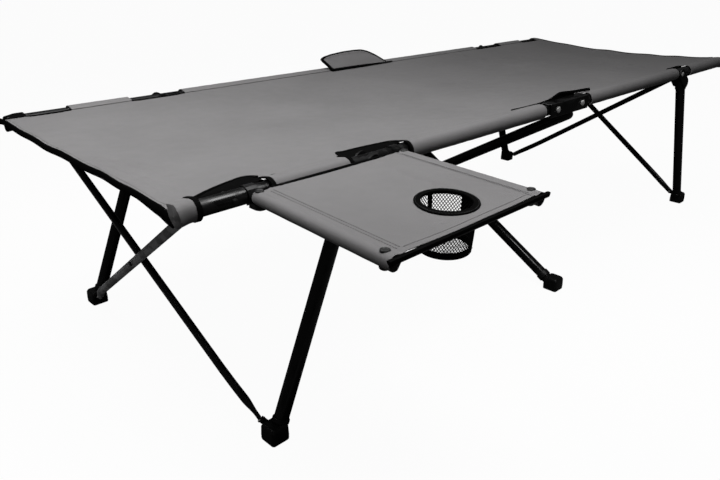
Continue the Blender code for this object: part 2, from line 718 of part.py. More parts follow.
def deck_section(inner_only=False):
    """The deck's cross-section, with the rails' sleeves, as outlines in (y, z)."""
    outer = RAIL_RADIUS + FIT + SLEEVE_WALL
    bore = RAIL_RADIUS + FIT
    upper_angle = SLEEVE_UPPER_ANGLE
    lower_angle = SLEEVE_LOWER_ANGLE
    near = (-HALF_WIDTH, 0.0)
    far = (HALF_WIDTH, 0.0)
    edge = HALF_WIDTH - outer * math.cos(math.radians(upper_angle))
    high = outer * math.sin(math.radians(upper_angle))
    low = outer * math.sin(math.radians(lower_angle))

    def sag(y, height):
        return height - DECK_SAG * (1 - (y / edge) ** 2)

    top = [edge - 2 * edge * i / DECK_STEPS for i in range(1, DECK_STEPS)]
    if inner_only:
        half = HALF_WIDTH - CUTOUT_DEPTH * 0.5
        ys = [half - 2 * half * i / DECK_STEPS for i in range(DECK_STEPS + 1)]
        upper_line = [(y, sag(y, high)) for y in ys]
        lower_line = [(y, sag(y, low)) for y in reversed(ys)]
        return [upper_line + lower_line]
    outline = arc_points(near, outer, upper_angle, 360 + lower_angle, SLEEVE_STEPS)
    outline += [(-y, sag(y, low)) for y in top]
    outline += arc_points(far, outer, 180 - lower_angle - 360, 180 - upper_angle, SLEEVE_STEPS)
    outline += [(y, sag(y, high)) for y in top]
    return [outline, arc_points(near, bore, 0, 337.5, 15), arc_points(far, bore, 0, 337.5, 15)]


def deck_panel(name, low, high, cutouts, pivot, sleeves=True):
    """A stretch of the deck between two places along the cot."""
    mesh = outline_mesh(deck_section(not sleeves), high - low, FACE_ALONG)
    middle = Vector(((low + high) / 2, 0.0, RAIL_HEIGHT))
    obj = mesh_object(name, mesh, middle, pivot, grey_cloth)
    for index, (sign, start, stop) in enumerate(cutouts):
        inner, outer = sorted((sign * (HALF_WIDTH - CUTOUT_DEPTH), sign * (HALF_WIDTH + CUTOUT_DEPTH)))
        block = box_mesh((start, inner, -CUTOUT_DEPTH), (stop, outer, CUTOUT_DEPTH))
        cut(obj, block, (0.0, 0.0, RAIL_HEIGHT), pivot, f"cutout_{index}")
    return obj


def deck_cutouts(direction):
    """An end's cut-outs as (side, from, to) along the cot, with the stretch beside the bracket."""
    found = []
    for sign, cutouts in ((-1.0, NEAR_CUTOUTS), (1.0, FAR_CUTOUTS)):
        for start, stop in cutouts:
            places = sorted((direction * start, direction * stop))
            found.append((sign, places[0], places[1]))
        places = sorted((direction * SLEEVE_START_X, direction * (DECK_SPLIT_X - 0.01)))
        found.append((sign, places[0], places[1]))
    return found


def far_flap(pivot):
    """The cloth flap that stands on the far bracket."""
    low = RAIL_HEIGHT + RAIL_RADIUS + 2 * FIT + BRACKET_PLATE
    middle = (FLAP_X[0] + FLAP_X[1]) / 2
    half = (FLAP_X[1] - FLAP_X[0]) / 2
    mesh = box_mesh((-half, -FLAP_THICKNESS / 2, 0.0), (half, FLAP_THICKNESS / 2, FLAP_TOP - low))
    obj = mesh_object("far_edge_flap", mesh, (middle, HALF_WIDTH + 0.004, low), pivot, grey_cloth)
    bevel(obj, 0.0008, 1)


def table_outer(x):
    return Vector((x + TABLE_REACH[0], TABLE_PIVOT_Y + TABLE_REACH[1], TABLE_TUBE_HEIGHT))


def table_clamp(label, x, pivot):
    """A clamp round the rail with a tongue that carries the table's tube."""
    at = Vector((x, -HALF_WIDTH, RAIL_HEIGHT))
    bore = RAIL_RADIUS + FIT
    outer = bore + 0.0020
    ring = [arc_points((0, 0), outer, 0, 337.5, 15)]
    mesh = outline_mesh(ring, 2 * CLAMP_HALF_WIDTH, FACE_ALONG)
    obj = mesh_object(f"table_{label}_clamp", mesh, at, pivot, black_paint)
    past = CUTTER_REACH
    cut(obj, box_mesh((-past, -bore / 2, -past), (past, past, 0.0)), at, pivot, "open_side")
    low = TABLE_TUBE_HEIGHT - TABLE_TUBE_RADIUS - RUNNING_GAP - TONGUE_PLATE - RAIL_HEIGHT
    top = low + TONGUE_PLATE
    reach = TABLE_PIVOT_Y + HALF_WIDTH
    plate = box_mesh((-CLAMP_HALF_WIDTH, reach, low), (CLAMP_HALF_WIDTH, -bore * 0.95, top))
    join(obj, plate, at, pivot, "tongue")
    round_end = cylinder_mesh(CLAMP_HALF_WIDTH, TONGUE_PLATE, TUBE_STEPS)
    join(obj, round_end, at + Vector((0.0, reach, (low + top) / 2)), pivot, "tongue_end")
    cut(obj, aim(cylinder_mesh(bore, 0.05, TUBE_STEPS), (1, 0, 0)), at, pivot, "rail_bore")
    cross_hole(obj, at + Vector((0.0, reach, 0.0)), (0, 0, 1), RIVET_RADIUS + FIT, 0.06, pivot, "pin_hole")
    return at.z + low


def table_pin_foot(low):
    """The end of a pin's or rivet's profile, with its head under a plate."""
    radius, head = TABLE_RIVET_FOOT
    return [
        (RIVET_RADIUS, low - FIT),
        (radius, low - FIT),
        (radius * 0.85, low - FIT - head),
        (0.0, low - FIT - head),
    ]


def table_pin(label, x, low, pivot):
    """The pin under a table tube's inner end."""
    top = TABLE_TUBE_HEIGHT + TABLE_TUBE_RADIUS - FIT
    profile = [(0.0, top), (RIVET_RADIUS, top)] + table_pin_foot(low)
    mesh_object(f"table_{label}_pivot_pin", turned(profile, BOLT_STEPS), (x, TABLE_PIVOT_Y, 0.0), pivot, zinc)


def table_tube(label, x, pivot):
    """A side tube of the table."""
    start = Vector((x, TABLE_PIVOT_Y, TABLE_TUBE_HEIGHT))
    end = table_outer(x)
    name = f"table_{label}_tube"
    tube = hollow_tube(name, start, end, TABLE_TUBE_RADIUS, TABLE_TUBE_WALL, pivot, black_paint)
    cross_hole(tube, start, (0, 0, 1), RIVET_RADIUS + FIT, 0.03, pivot, "pivot_hole")
    cross_hole(tube, end, (0, 0, 1), RIVET_RADIUS + FIT, 0.03, pivot, "rivet_hole")


def edge_bar(pivot):
    """The table's outer bar: a flange under the tubes and a rim outside them."""
    left = table_outer(TABLE_PIVOT_X[0])
    right = table_outer(TABLE_PIVOT_X[1])
    high = TABLE_TUBE_HEIGHT - TABLE_TUBE_RADIUS - RUNNING_GAP
    low = high - TONGUE_PLATE
    x_low = left.x - EDGE_BAR_OVERHANG
    x_high = right.x + EDGE_BAR_OVERHANG
    outside = -EDGE_BAR_FLANGE[1]
    mesh = box_mesh((x_low, outside, low), (x_high, -EDGE_BAR_FLANGE[0], high))
    obj = mesh_object("table_edge_bar", mesh, (0.0, 0.0, 0.0), pivot, black_paint)
    rim = box_mesh((x_low, outside, low), (x_high, outside + EDGE_BAR_RIM, EDGE_BAR_RIM_TOP))
    join(obj, rim, (0.0, 0.0, 0.0), pivot, "rim")
    for label, place in (("left", left), ("right", right)):
        cross_hole(obj, place, (0, 0, 1), RIVET_RADIUS + FIT, 0.04, pivot, f"{label}_rivet_hole")
    return low


def cloth_height():
    return TABLE_TUBE_HEIGHT + TABLE_TUBE_RADIUS + FIT


def table_rivet(label, x, low, pivot):
    """The rivet through a table tube's outer end, the edge bar and the cloth."""
    top = cloth_height() + TABLE_CLOTH + FIT
    radius, head = TABLE_RIVET_HEAD
    profile = [
        (0.0, top + head),
        (radius * 0.6, top + head),
        (radius, top + head * 0.3),
        (radius, top),
        (RIVET_RADIUS, top),
    ] + table_pin_foot(low)
    at = table_outer(x)
    mesh_object(f"table_{label}_rivet", turned(profile, BOLT_STEPS), (at.x, at.y, 0.0), pivot, zinc)


def table_cloth(pivot):
    """The table's cloth, a parallelogram over both tubes with the cup's hole."""
    lean = TABLE_REACH[0] / TABLE_REACH[1]
    corners = []
    for y, order in ((TABLE_CLOTH_Y[0], (0, 1)), (TABLE_CLOTH_Y[1], (1, 0))):
        for index in order:
            side = -TABLE_CLOTH_OVERLAP if index == 0 else TABLE_CLOTH_OVERLAP
            corners.append((TABLE_PIVOT_X[index] + side + (y - TABLE_PIVOT_Y) * lean, y))
    hole = cup_circle(CUP_CENTRE, CUP_RADIUS)
    mesh = outline_mesh([corners, hole], TABLE_CLOTH)
    middle = cloth_height() + TABLE_CLOTH / 2
    obj = mesh_object("table_cloth", mesh, (0.0, 0.0, middle), pivot, grey_cloth)
    for label, x in zip(("left", "right"), TABLE_PIVOT_X):
        cross_hole(obj, table_outer(x), (0, 0, 1), RIVET_RADIUS + FIT, 0.04, pivot, f"{label}_rivet_hole")


def cup_circle(centre, radius):
    """An outline round the cup's hole or its binding."""
    return arc_points(centre, radius, 0, 360 - 360 / CUP_STEPS, CUP_STEPS - 1)


def cup_ring(pivot):
    """The flat ring that binds the cup's hole, on top of the cloth."""
    low = cloth_height() + TABLE_CLOTH + FIT
    outer = cup_circle((0, 0), CUP_RADIUS + CUP_RING_WIDTH)
    inner = cup_circle((0, 0), CUP_RADIUS - RUNNING_GAP * 2)
    mesh = outline_mesh([outer, inner], CUP_RING_THICKNESS)
    at = (CUP_CENTRE[0], CUP_CENTRE[1], low + CUP_RING_THICKNESS / 2)
    mesh_object("cup_hole_ring", mesh, at, pivot, black_cloth)


def mesh_pocket(pivot):
    """The cup's hanging pocket, with a net for a floor."""
    top = cloth_height() + TABLE_CLOTH
    radius = CUP_RADIUS - FIT
    at = Vector((CUP_CENTRE[0], CUP_CENTRE[1], top - POCKET_DEPTH))
    floor = POCKET_WALL
    profile = [
        (0.0, floor),
        (POCKET_FLOOR_RADIUS - POCKET_WALL, floor),
        (radius - POCKET_WALL, POCKET_DEPTH),
        (radius, POCKET_DEPTH),
        (POCKET_FLOOR_RADIUS, 0.0),
        (0.0, 0.0),
    ]
    obj = mesh_object("cup_mesh_pocket", turned(profile, CUP_STEPS), at, pivot, black_cloth)
    shell = bmesh.new()
    reach = POCKET_FLOOR_RADIUS - POCKET_WALL - NET_HOLE * 0.75
    count = int(radius / NET_PITCH) + 1
    for row in range(-count, count + 1):
        for column in range(-count, count + 1):
            centre = Matrix.Rotation(math.pi / 4, 2) @ Vector((column * NET_PITCH, row * NET_PITCH))
            if centre.length > reach:
                continue
            place = Matrix.Translation((centre.x, centre.y, floor / 2)) @ Matrix.Rotation(math.pi / 4, 4, "Z")
            size = Matrix.Diagonal((NET_HOLE, NET_HOLE, floor * 4, 1.0))
            bmesh.ops.create_cube(shell, size=1.0, matrix=place @ size)
    gaps = bpy.data.meshes.new("net_gaps")
    shell.to_mesh(gaps)
    shell.free()
    cut(obj, gaps, at, pivot, "net")


def build_middle(root):
    """Brackets, middle legs and their boots, from the near bracket over to the far one."""
    near_leg = Pivot("middle_leg_near_pivot", (LANE_X, -HALF_WIDTH, RAIL_HEIGHT), root)
    crossing = Pivot("middle_leg_crossing_pivot", (0.0, 0.0, CROSSING_HEIGHT), near_leg)
    far_root = Pivot("far_bracket_pivot", (-LANE_X, HALF_WIDTH, RAIL_HEIGHT), crossing)
    brackets = {"near": root, "far": far_root}
    legs = {"near": near_leg, "far": crossing}
    opposite = {"near": "far", "far": "near"}
    for side, sign in SIDES:
        bracket_part(side, sign, brackets[side])
        bracket_bolts(side, sign, brackets[side])
        leg_pin(side, sign, brackets[side])
        middle_leg(side, sign, legs[side])
        middle_boot(opposite[side], -sign, legs[side])
    crossing_pin(near_leg)
    return brackets


def build_end(end, direction, brackets):
    """One end's rails, legs, boots and braces, and its stretch of deck."""
    rails = {}
    for side, sign in SIDES:
        hinge = Pivot(f"{end}_{side}_rail_pivot", rail_point(direction, HINGE_X, sign), brackets[side])
        rails[side] = hinge
        rail(end, direction, side, sign, hinge)
        swing = Pivot(f"{end}_{side}_leg_pivot", rail_point(direction, KNUCKLE_BOLT_X, sign), hinge)
        end_leg(end, direction, side, sign, swing)
        knuckle(end, direction, side, sign, swing)
        end_boot(end, direction, side, sign, swing)
        stud = rail_point(direction, BRACE_TOP_X, sign) - Vector((0.0, sign * BRACE_INSET, 0.0))
        turn = Pivot(f"{end}_{side}_swivel_pivot", stud, hinge)
        brace_swivel(end, direction, side, sign, turn)
        tilt = Pivot(f"{end}_{side}_brace_pivot", stud, turn)
        lane = BRACE_LANE if side == "near" else -BRACE_LANE
        brace(end, direction, side, sign, lane, tilt)
    places = sorted((direction * DECK_SPLIT_X, direction * HALF_LENGTH))
    deck_panel(f"deck_{end}", places[0], places[1], deck_cutouts(direction), rails["near"])
    return rails


def build_table(rail_pivot):
    """The side table on the left near rail."""
    swings = {}
    labels = ("left", "right")
    for label, x in zip(labels, TABLE_PIVOT_X):
        low = table_clamp(label, x, rail_pivot)
        swings[label] = Pivot(f"table_{label}_pivot", (x, TABLE_PIVOT_Y, TABLE_TUBE_HEIGHT), rail_pivot)
        table_pin(label, x, low, swings[label])
        table_tube(label, x, swings[label])
    bar = Pivot("table_edge_pivot", table_outer(TABLE_PIVOT_X[0]), swings["left"])
    low = edge_bar(bar)
    for label, x in zip(labels, TABLE_PIVOT_X):
        table_rivet(label, x, low, bar)
    share = (CUP_CENTRE[1] - TABLE_PIVOT_Y) / TABLE_REACH[1]
    at = Vector((TABLE_PIVOT_X[0] + share * TABLE_REACH[0], CUP_CENTRE[1], TABLE_TUBE_HEIGHT))
    cup = Pivot("cup_holder_pivot", at, swings["left"])
    table_cloth(cup)
    cup_ring(cup)
    mesh_pocket(cup)


def main():
    start_scene()
    depth_middle = (-EDGE_BAR_FLANGE[1] + MIDDLE_FOOT_Y + BOOT_WIDTH / 2) / 2
    origin = Pivot("cot_origin", (0.0, 0.0, 0.0))
    near = Pivot("near_bracket_pivot", rail_point(-1.0, 0.0, -1.0), origin)
    brackets = build_middle(near)
    ends = {end: build_end(end, direction, brackets) for end, direction in ENDS}
    deck_panel("deck_middle", -DECK_SPLIT_X + FIT, DECK_SPLIT_X - FIT, [], near, sleeves=False)
    far_flap(brackets["far"])
    build_table(ends["left"]["near"])
    origin.empty.location = (0.0, -depth_middle, 0.0)
    bpy.context.view_layer.update()


main()
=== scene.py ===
"""The looks of a folding camping cot with a swing-out side table, built round its CAD frame.

Lengths are in metres and +Z is up. The cot's length runs along X, and its table is on the near side, at -Y.
"""

import json
import logging
import math
from collections.abc import Callable, Sequence
from dataclasses import dataclass, field
from enum import Enum

import bmesh
import bpy
from mathutils import Matrix, Vector, noise

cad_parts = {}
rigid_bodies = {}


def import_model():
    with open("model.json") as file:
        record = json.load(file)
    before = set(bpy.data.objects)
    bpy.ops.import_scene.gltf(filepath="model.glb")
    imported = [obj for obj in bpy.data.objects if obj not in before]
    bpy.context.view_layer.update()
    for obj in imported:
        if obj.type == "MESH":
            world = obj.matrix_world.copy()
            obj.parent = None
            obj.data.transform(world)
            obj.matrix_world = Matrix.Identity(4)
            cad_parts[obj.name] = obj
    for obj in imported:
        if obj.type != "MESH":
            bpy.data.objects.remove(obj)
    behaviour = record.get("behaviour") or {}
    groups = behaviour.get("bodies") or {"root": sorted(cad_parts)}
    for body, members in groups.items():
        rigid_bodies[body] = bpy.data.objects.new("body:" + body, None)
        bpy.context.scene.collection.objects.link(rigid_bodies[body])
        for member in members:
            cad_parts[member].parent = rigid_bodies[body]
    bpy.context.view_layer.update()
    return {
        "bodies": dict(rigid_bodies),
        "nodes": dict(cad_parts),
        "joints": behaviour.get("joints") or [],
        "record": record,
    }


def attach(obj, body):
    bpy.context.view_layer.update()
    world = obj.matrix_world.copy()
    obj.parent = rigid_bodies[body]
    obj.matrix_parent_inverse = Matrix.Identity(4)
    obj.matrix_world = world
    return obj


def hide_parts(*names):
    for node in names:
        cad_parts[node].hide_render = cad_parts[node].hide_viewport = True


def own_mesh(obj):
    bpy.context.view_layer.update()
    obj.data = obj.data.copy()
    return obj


LOG = logging.getLogger("cot")
Socket = bpy.types.NodeSocket
Shape = bmesh.types.BMesh
Piece = bpy.types.Object

RAIL_HEIGHT = 0.4435
MIDDLE_Y = 0.122
HALF_WIDTH = 0.335
HINGE_X = 0.0535
LEG_TOP_X = 0.660
LEG_FOOT_X = 0.845
LEG_END_Z = 0.0165
BRACE_TOP_X = 0.900
BRACE_FOOT = (0.852, 0.026)
BRACE_INSET = 0.029
MIDDLE_LEG_X = 0.014
MIDDLE_LEG_LAP = 0.003
MIDDLE_LEG_TOP_Z = 0.4215
CUP_CENTRE = (-0.710, -0.440)
CLOTH_LAYER = "cloth"
ALONG = Vector((1, 0, 0))
ACROSS = Vector((0, 1, 0))
UP = Vector((0, 0, 1))


class Side(Enum):
    """A long side of the cot; the value is the sign of its direction across."""

    NEAR = -1
    FAR = 1

    @property
    def label(self) -> str:
        """The side's name in body and node names."""
        return self.name.lower()

    @property
    def rail_y(self) -> float:
        """Where the side's rails run."""
        return MIDDLE_Y + self.value * HALF_WIDTH


class End(Enum):
    """An end of the cot; the value is the sign of its direction along."""

    LEFT = -1
    RIGHT = 1

    @property
    def label(self) -> str:
        """The end's name in body and node names."""
        return self.name.lower()


class Pattern(Enum):
    """The shared patterns that materials are made of."""

    WEAVE = "plain_weave"
    GRAIN = "fine_grain"
    SCUFFS = "scuffs"


class NodePen:
    """Adds and joins nodes in one node tree."""

    def __init__(self, tree: bpy.types.NodeTree) -> None:
        """Keeps the tree and starts at its left."""
        self.tree = tree
        self.column = 0

    def add(self, kind: str, **settings: object) -> bpy.types.Node:
        """Adds a node.

        Args:
            kind: The node's type, such as ShaderNodeMath.
            **settings: Properties of the node.

        Returns:
            The new node.
        """
        node = self.tree.nodes.new(kind)
        for name, value in settings.items():
            setattr(node, name, value)
        node.location = (self.column * 190, 0)
        self.column += 1
        return node

    def join(self, source: Socket, target: Socket) -> None:
        """Links an output to an input."""
        self.tree.links.new(source, target)

    def math(self, operation: str, first: object, second: object = None) -> Socket:
        """Adds a Math node.

        Args:
            operation: The node's operation.
            first: A socket or number.
            second: A socket or number, or None.

        Returns:
            The node's output.
        """
        node = self.add("ShaderNodeMath", operation=operation)
        for index, value in enumerate((first, second)):
            if isinstance(value, (int, float)):
                node.inputs[index].default_value = value
            elif value is not None:
                self.join(value, node.inputs[index])
        return node.outputs[0]

    def noise(self, vector: Socket, scale: object, detail: float = 2.0) -> Socket:
        """Adds a Noise Texture.

        Args:
            vector: Where the noise is read.
            scale: A socket or number.
            detail: How many octaves.

        Returns:
            The noise's value.
        """
        node = self.add("ShaderNodeTexNoise")
        self.join(vector, node.inputs["Vector"])
        if isinstance(scale, (int, float)):
            node.inputs["Scale"].default_value = scale
        else:
            self.join(scale, node.inputs["Scale"])
        node.inputs["Detail"].default_value = detail
        return node.outputs[0]

    def spread(self, value: Socket, low: float, high: float,
               start: float = 0.3, stop: float = 0.7) -> Socket:
        """Maps a value from one range to another.

        Args:
            value: The value that varies.
            low: What start becomes.
            high: What stop becomes.
            start: The lower end of the value.
            stop: The upper end of the value.

        Returns:
            The mapped value.
        """
        node = self.add("ShaderNodeMapRange")
        self.join(value, node.inputs["Value"])
        for name, number in (("From Min", start), ("From Max", stop), ("To Min", low), ("To Max", high)):
            node.inputs[name].default_value = number
        return node.outputs[0]

    def blend(self, mask: Socket, dark: tuple, light: tuple) -> Socket:
        """Mixes two colours by a mask.

        Args:
            mask: 0 for the first colour, 1 for the second.
            dark: The first colour.
            light: The second colour.

        Returns:
            The mixed colour.
        """
        node = self.add("ShaderNodeMix", data_type="RGBA")
        self.join(mask, node.inputs["Factor"])
        node.inputs[6].default_value = (*dark, 1.0)
        node.inputs[7].default_value = (*light, 1.0)
        return node.outputs[2]

    def bump(self, height: Socket, strength: float, distance: float) -> Socket:
        """Adds a Bump node.

        Args:
            height: The height that varies.
            strength: The node's strength.
            distance: The relief's depth in metres.

        Returns:
            The bumped normal.
        """
        node = self.add("ShaderNodeBump")
        node.inputs["Strength"].default_value = strength
        node.inputs["Distance"].default_value = distance
        self.join(height, node.inputs["Height"])
        return node.outputs["Normal"]


class PatternBook:
    """The node groups that several finishes share."""

    def __init__(self) -> None:
        """Starts with no group built."""
        self.groups: dict[Pattern, bpy.types.NodeTree] = {}

    def get(self, pattern: Pattern) -> bpy.types.NodeTree:
        """Returns a pattern's group, and builds it the first time."""
        if pattern not in self.groups:
            build = {Pattern.WEAVE: self._weave, Pattern.GRAIN: self._grain, Pattern.SCUFFS: self._scuffs}
            self.groups[pattern] = build[pattern]()
        return self.groups[pattern]

    @staticmethod
    def _start(name: str, numbers: Sequence[str], outputs: Sequence[str]) -> tuple:
        """Makes an empty group.

        Args:
            name: The group's name.
            numbers: Its number inputs, besides a vector.
            outputs: Its number outputs.

        Returns:
            The tree, a pen for it, its input node and its output node.
        """
        tree = bpy.data.node_groups.new(name, "ShaderNodeTree")
        tree.interface.new_socket("Vector", in_out="INPUT", socket_type="NodeSocketVector")
        for label in numbers:
            tree.interface.new_socket(label, in_out="INPUT", socket_type="NodeSocketFloat")
        for label in outputs:
            tree.interface.new_socket(label, in_out="OUTPUT", socket_type="NodeSocketFloat")
        pen = NodePen(tree)
        return tree, pen, pen.add("NodeGroupInput"), pen.add("NodeGroupOutput")

    def _weave(self) -> bpy.types.NodeTree:
        """Threads that pass over and under each other."""
        tree, pen, given, made = self._start(Pattern.WEAVE.value, ["Threads"], ["Height", "Shade"])
        parts = pen.add("ShaderNodeSeparateXYZ")
        pen.join(given.outputs["Vector"], parts.inputs[0])
        turns = pen.math("MULTIPLY", given.outputs["Threads"], math.pi)
        waves = [pen.math("SINE", pen.math("MULTIPLY", parts.outputs[axis], turns)) for axis in (0, 1)]
        warp = pen.math("ABSOLUTE", waves[0])
        weft = pen.math("ABSOLUTE", waves[1])
        over = pen.math("GREATER_THAN", pen.math("MULTIPLY", waves[0], waves[1]), 0.0)
        under = pen.math("SUBTRACT", 1.0, over)
        raised = pen.math("ADD", pen.math("MULTIPLY", warp, over), pen.math("MULTIPLY", weft, under))
        pen.join(raised, made.inputs["Height"])
        fuzz = pen.noise(given.outputs["Vector"], given.outputs["Threads"], 3.0)
        pen.join(pen.math("MULTIPLY", pen.math("ADD", raised, fuzz), 0.5), made.inputs["Shade"])
        return tree

    def _grain(self) -> bpy.types.NodeTree:
        """A fine, even grain with a slower change over it."""
        tree, pen, given, made = self._start(Pattern.GRAIN.value, ["Scale"], ["Height", "Shade"])
        fine = pen.noise(given.outputs["Vector"], given.outputs["Scale"], 4.0)
        slow = pen.noise(given.outputs["Vector"], pen.math("MULTIPLY", given.outputs["Scale"], 0.04), 2.0)
        pen.join(fine, made.inputs["Height"])
        pen.join(slow, made.inputs["Shade"])
        return tree

    def _scuffs(self) -> bpy.types.NodeTree:
        """Sparse rubbed patches with a broken edge."""
        tree, pen, given, made = self._start(Pattern.SCUFFS.value, ["Scale", "Cover"], ["Mask"])
        patch = pen.noise(given.outputs["Vector"], given.outputs["Scale"], 6.0)
        edge = pen.math("SUBTRACT", 1.0, given.outputs["Cover"])
        over = pen.math("SUBTRACT", patch, pen.math("MULTIPLY", edge, 0.75))
        node = pen.add("ShaderNodeClamp")
        pen.join(pen.math("MULTIPLY", over, 12.0), node.inputs[0])
        pen.join(node.outputs[0], made.inputs["Mask"])
        return tree


PATTERNS = PatternBook()


@dataclass(frozen=True)
class Finish:
    """A surface's look: constant values here, and what changes over the surface in dress()."""

    name: str
    slot: str
    colour: tuple[float, float, float]
    roughness: float
    metallic: float = 0.0
    specular: float = 0.5

    def material(self) -> bpy.types.Material:
        """Returns the finish's material, and builds it the first time."""
        found = bpy.data.materials.get(self.name)
        if found:
            return found
        made = bpy.data.materials.new(self.name)
        made.use_nodes = True
        shader = made.node_tree.nodes["Principled BSDF"]
        shader.inputs["Metallic"].default_value = self.metallic
        shader.inputs["Specular IOR Level"].default_value = self.specular
        self.dress(NodePen(made.node_tree), shader)
        return made

    def dress(self, pen: NodePen, shader: bpy.types.Node) -> None:
        """Adds what changes over the surface."""
        raise NotImplementedError

    def shade(self, factor: float) -> tuple[float, float, float]:
        """The finish's colour, lighter or darker."""
        return tuple(min(1.0, channel * factor) for channel in self.colour)

    @staticmethod
    def group(pen: NodePen, pattern: Pattern, vector: Socket, **values: float) -> bpy.types.Node:
        """Places a shared pattern.

        Args:
            pen: The material's pen.
            pattern: Which pattern.
            vector: Where it is read.
            **values: Its number inputs, by name.

        Returns:
            The group's node.
        """
        node = pen.add("ShaderNodeGroup")
        node.node_tree = PATTERNS.get(pattern)
        pen.join(vector, node.inputs["Vector"])
        for name, value in values.items():
            node.inputs[name].default_value = value
        return node


@dataclass(frozen=True)
class PaintedSteel(Finish):
    """Satin black powder coat with a slight orange peel and rubbed places."""

    rub: float = 0.42

    def dress(self, pen: NodePen, shader: bpy.types.Node) -> None:
        """Orange peel in the relief, and paler, duller rubs."""
        place = pen.add("ShaderNodeTexCoord").outputs["Object"]
        grain = self.group(pen, Pattern.GRAIN, place, Scale=420.0)
        rubs = self.group(pen, Pattern.SCUFFS, place, Scale=34.0, Cover=self.rub)
        tint = pen.spread(grain.outputs["Shade"], 0.0, 0.5)
        mask = pen.math("MAXIMUM", tint, rubs.outputs["Mask"])
        pen.join(pen.blend(mask, self.colour, self.shade(2.6)), shader.inputs["Base Color"])
        rough = pen.spread(grain.outputs["Shade"], self.roughness - 0.05, self.roughness + 0.08)
        worn = pen.math("ADD", rough, pen.math("MULTIPLY", rubs.outputs["Mask"], 0.16))
        pen.join(worn, shader.inputs["Roughness"])
        pen.join(pen.bump(grain.outputs["Height"], 0.25, 0.00012), shader.inputs["Normal"])


@dataclass(frozen=True)
class MouldedPlastic(Finish):
    """Matt moulded plastic with a spark-eroded grain and dust on it."""

    def dress(self, pen: NodePen, shader: bpy.types.Node) -> None:
        """Grain in the relief, and a little dust in the colour."""
        place = pen.add("ShaderNodeTexCoord").outputs["Object"]
        grain = self.group(pen, Pattern.GRAIN, place, Scale=900.0)
        dust = self.group(pen, Pattern.SCUFFS, place, Scale=55.0, Cover=0.45)
        mask = pen.math("MULTIPLY", dust.outputs["Mask"], 0.7)
        pen.join(pen.blend(mask, self.colour, self.shade(2.8)), shader.inputs["Base Color"])
        rough = pen.spread(grain.outputs["Shade"], self.roughness - 0.06, self.roughness + 0.1)
        pen.join(rough, shader.inputs["Roughness"])
        pen.join(pen.bump(grain.outputs["Height"], 0.5, 0.00015), shader.inputs["Normal"])


@dataclass(frozen=True)
class PlatedZinc(Finish):
    """Zinc plate on bolts and rivets, with fine turning marks and dull patches."""

    def dress(self, pen: NodePen, shader: bpy.types.Node) -> None:
        """Marks in the relief, and patches in colour and roughness."""
        place = pen.add("ShaderNodeTexCoord").outputs["Object"]
        grain = self.group(pen, Pattern.GRAIN, place, Scale=1600.0)
        dull = self.group(pen, Pattern.SCUFFS, place, Scale=160.0, Cover=0.5)
        tint = pen.blend(dull.outputs["Mask"], self.colour, self.shade(0.62))
        pen.join(tint, shader.inputs["Base Color"])
        rough = pen.spread(grain.outputs["Shade"], self.roughness - 0.06, self.roughness + 0.14)
        pen.join(rough, shader.inputs["Roughness"])
        pen.join(pen.bump(grain.outputs["Height"], 0.3, 0.00006), shader.inputs["Normal"])


@dataclass(frozen=True)
class WovenCloth(Finish):
    """Coated plain-weave cloth; the weave follows the piece's own UV map."""

    threads: float = 1500.0
    relief: float = 0.00009
    sheen: float = 0.05
    patch: float = 0.10

    def dress(self, pen: NodePen, shader: bpy.types.Node) -> None:
        """Weave in relief and colour, soft handling marks, and a slow change of shade."""
        shader.inputs["Sheen Weight"].default_value = self.sheen if self.colour[0] > 0.1 else 0.0
        shader.inputs["Sheen Roughness"].default_value = 0.45
        laid = pen.add("ShaderNodeUVMap", uv_map=CLOTH_LAYER).outputs["UV"]
        place = pen.add("ShaderNodeTexCoord").outputs["Object"]
        weave = self.group(pen, Pattern.WEAVE, laid, Threads=self.threads)
        slow = pen.noise(place, 4.5, 3.0)
        marks = pen.noise(place, 38.0, 4.0)
        drift = pen.spread(slow, 0.0, 0.6)
        shade = pen.math("ADD", drift, pen.spread(weave.outputs["Shade"], 0.0, 0.4, 0.1, 0.9))
        light = self.shade(1.0 + self.patch)
        pen.join(pen.blend(shade, self.shade(1.0 - self.patch), light), shader.inputs["Base Color"])
        rough = pen.spread(marks, self.roughness - 0.05, self.roughness + 0.06)
        pen.join(rough, shader.inputs["Roughness"])
        soft = pen.math("MULTIPLY", marks, 3.0)
        height = pen.math("ADD", weave.outputs["Height"], soft)
        pen.join(pen.bump(height, 0.45, self.relief), shader.inputs["Normal"])


@dataclass(frozen=True)
class SewingThread(Finish):
    """Twisted thread in stitches and in the net's cords."""

    def dress(self, pen: NodePen, shader: bpy.types.Node) -> None:
        """A fine fibre grain in relief and colour."""
        place = pen.add("ShaderNodeTexCoord").outputs["Object"]
        grain = self.group(pen, Pattern.GRAIN, place, Scale=2400.0)
        tint = pen.blend(grain.outputs["Height"], self.shade(0.7), self.shade(1.4))
        pen.join(tint, shader.inputs["Base Color"])
        rough = pen.spread(grain.outputs["Shade"], self.roughness - 0.05, self.roughness + 0.05)
        pen.join(rough, shader.inputs["Roughness"])
        pen.join(pen.bump(grain.outputs["Height"], 0.6, 0.0001), shader.inputs["Normal"])


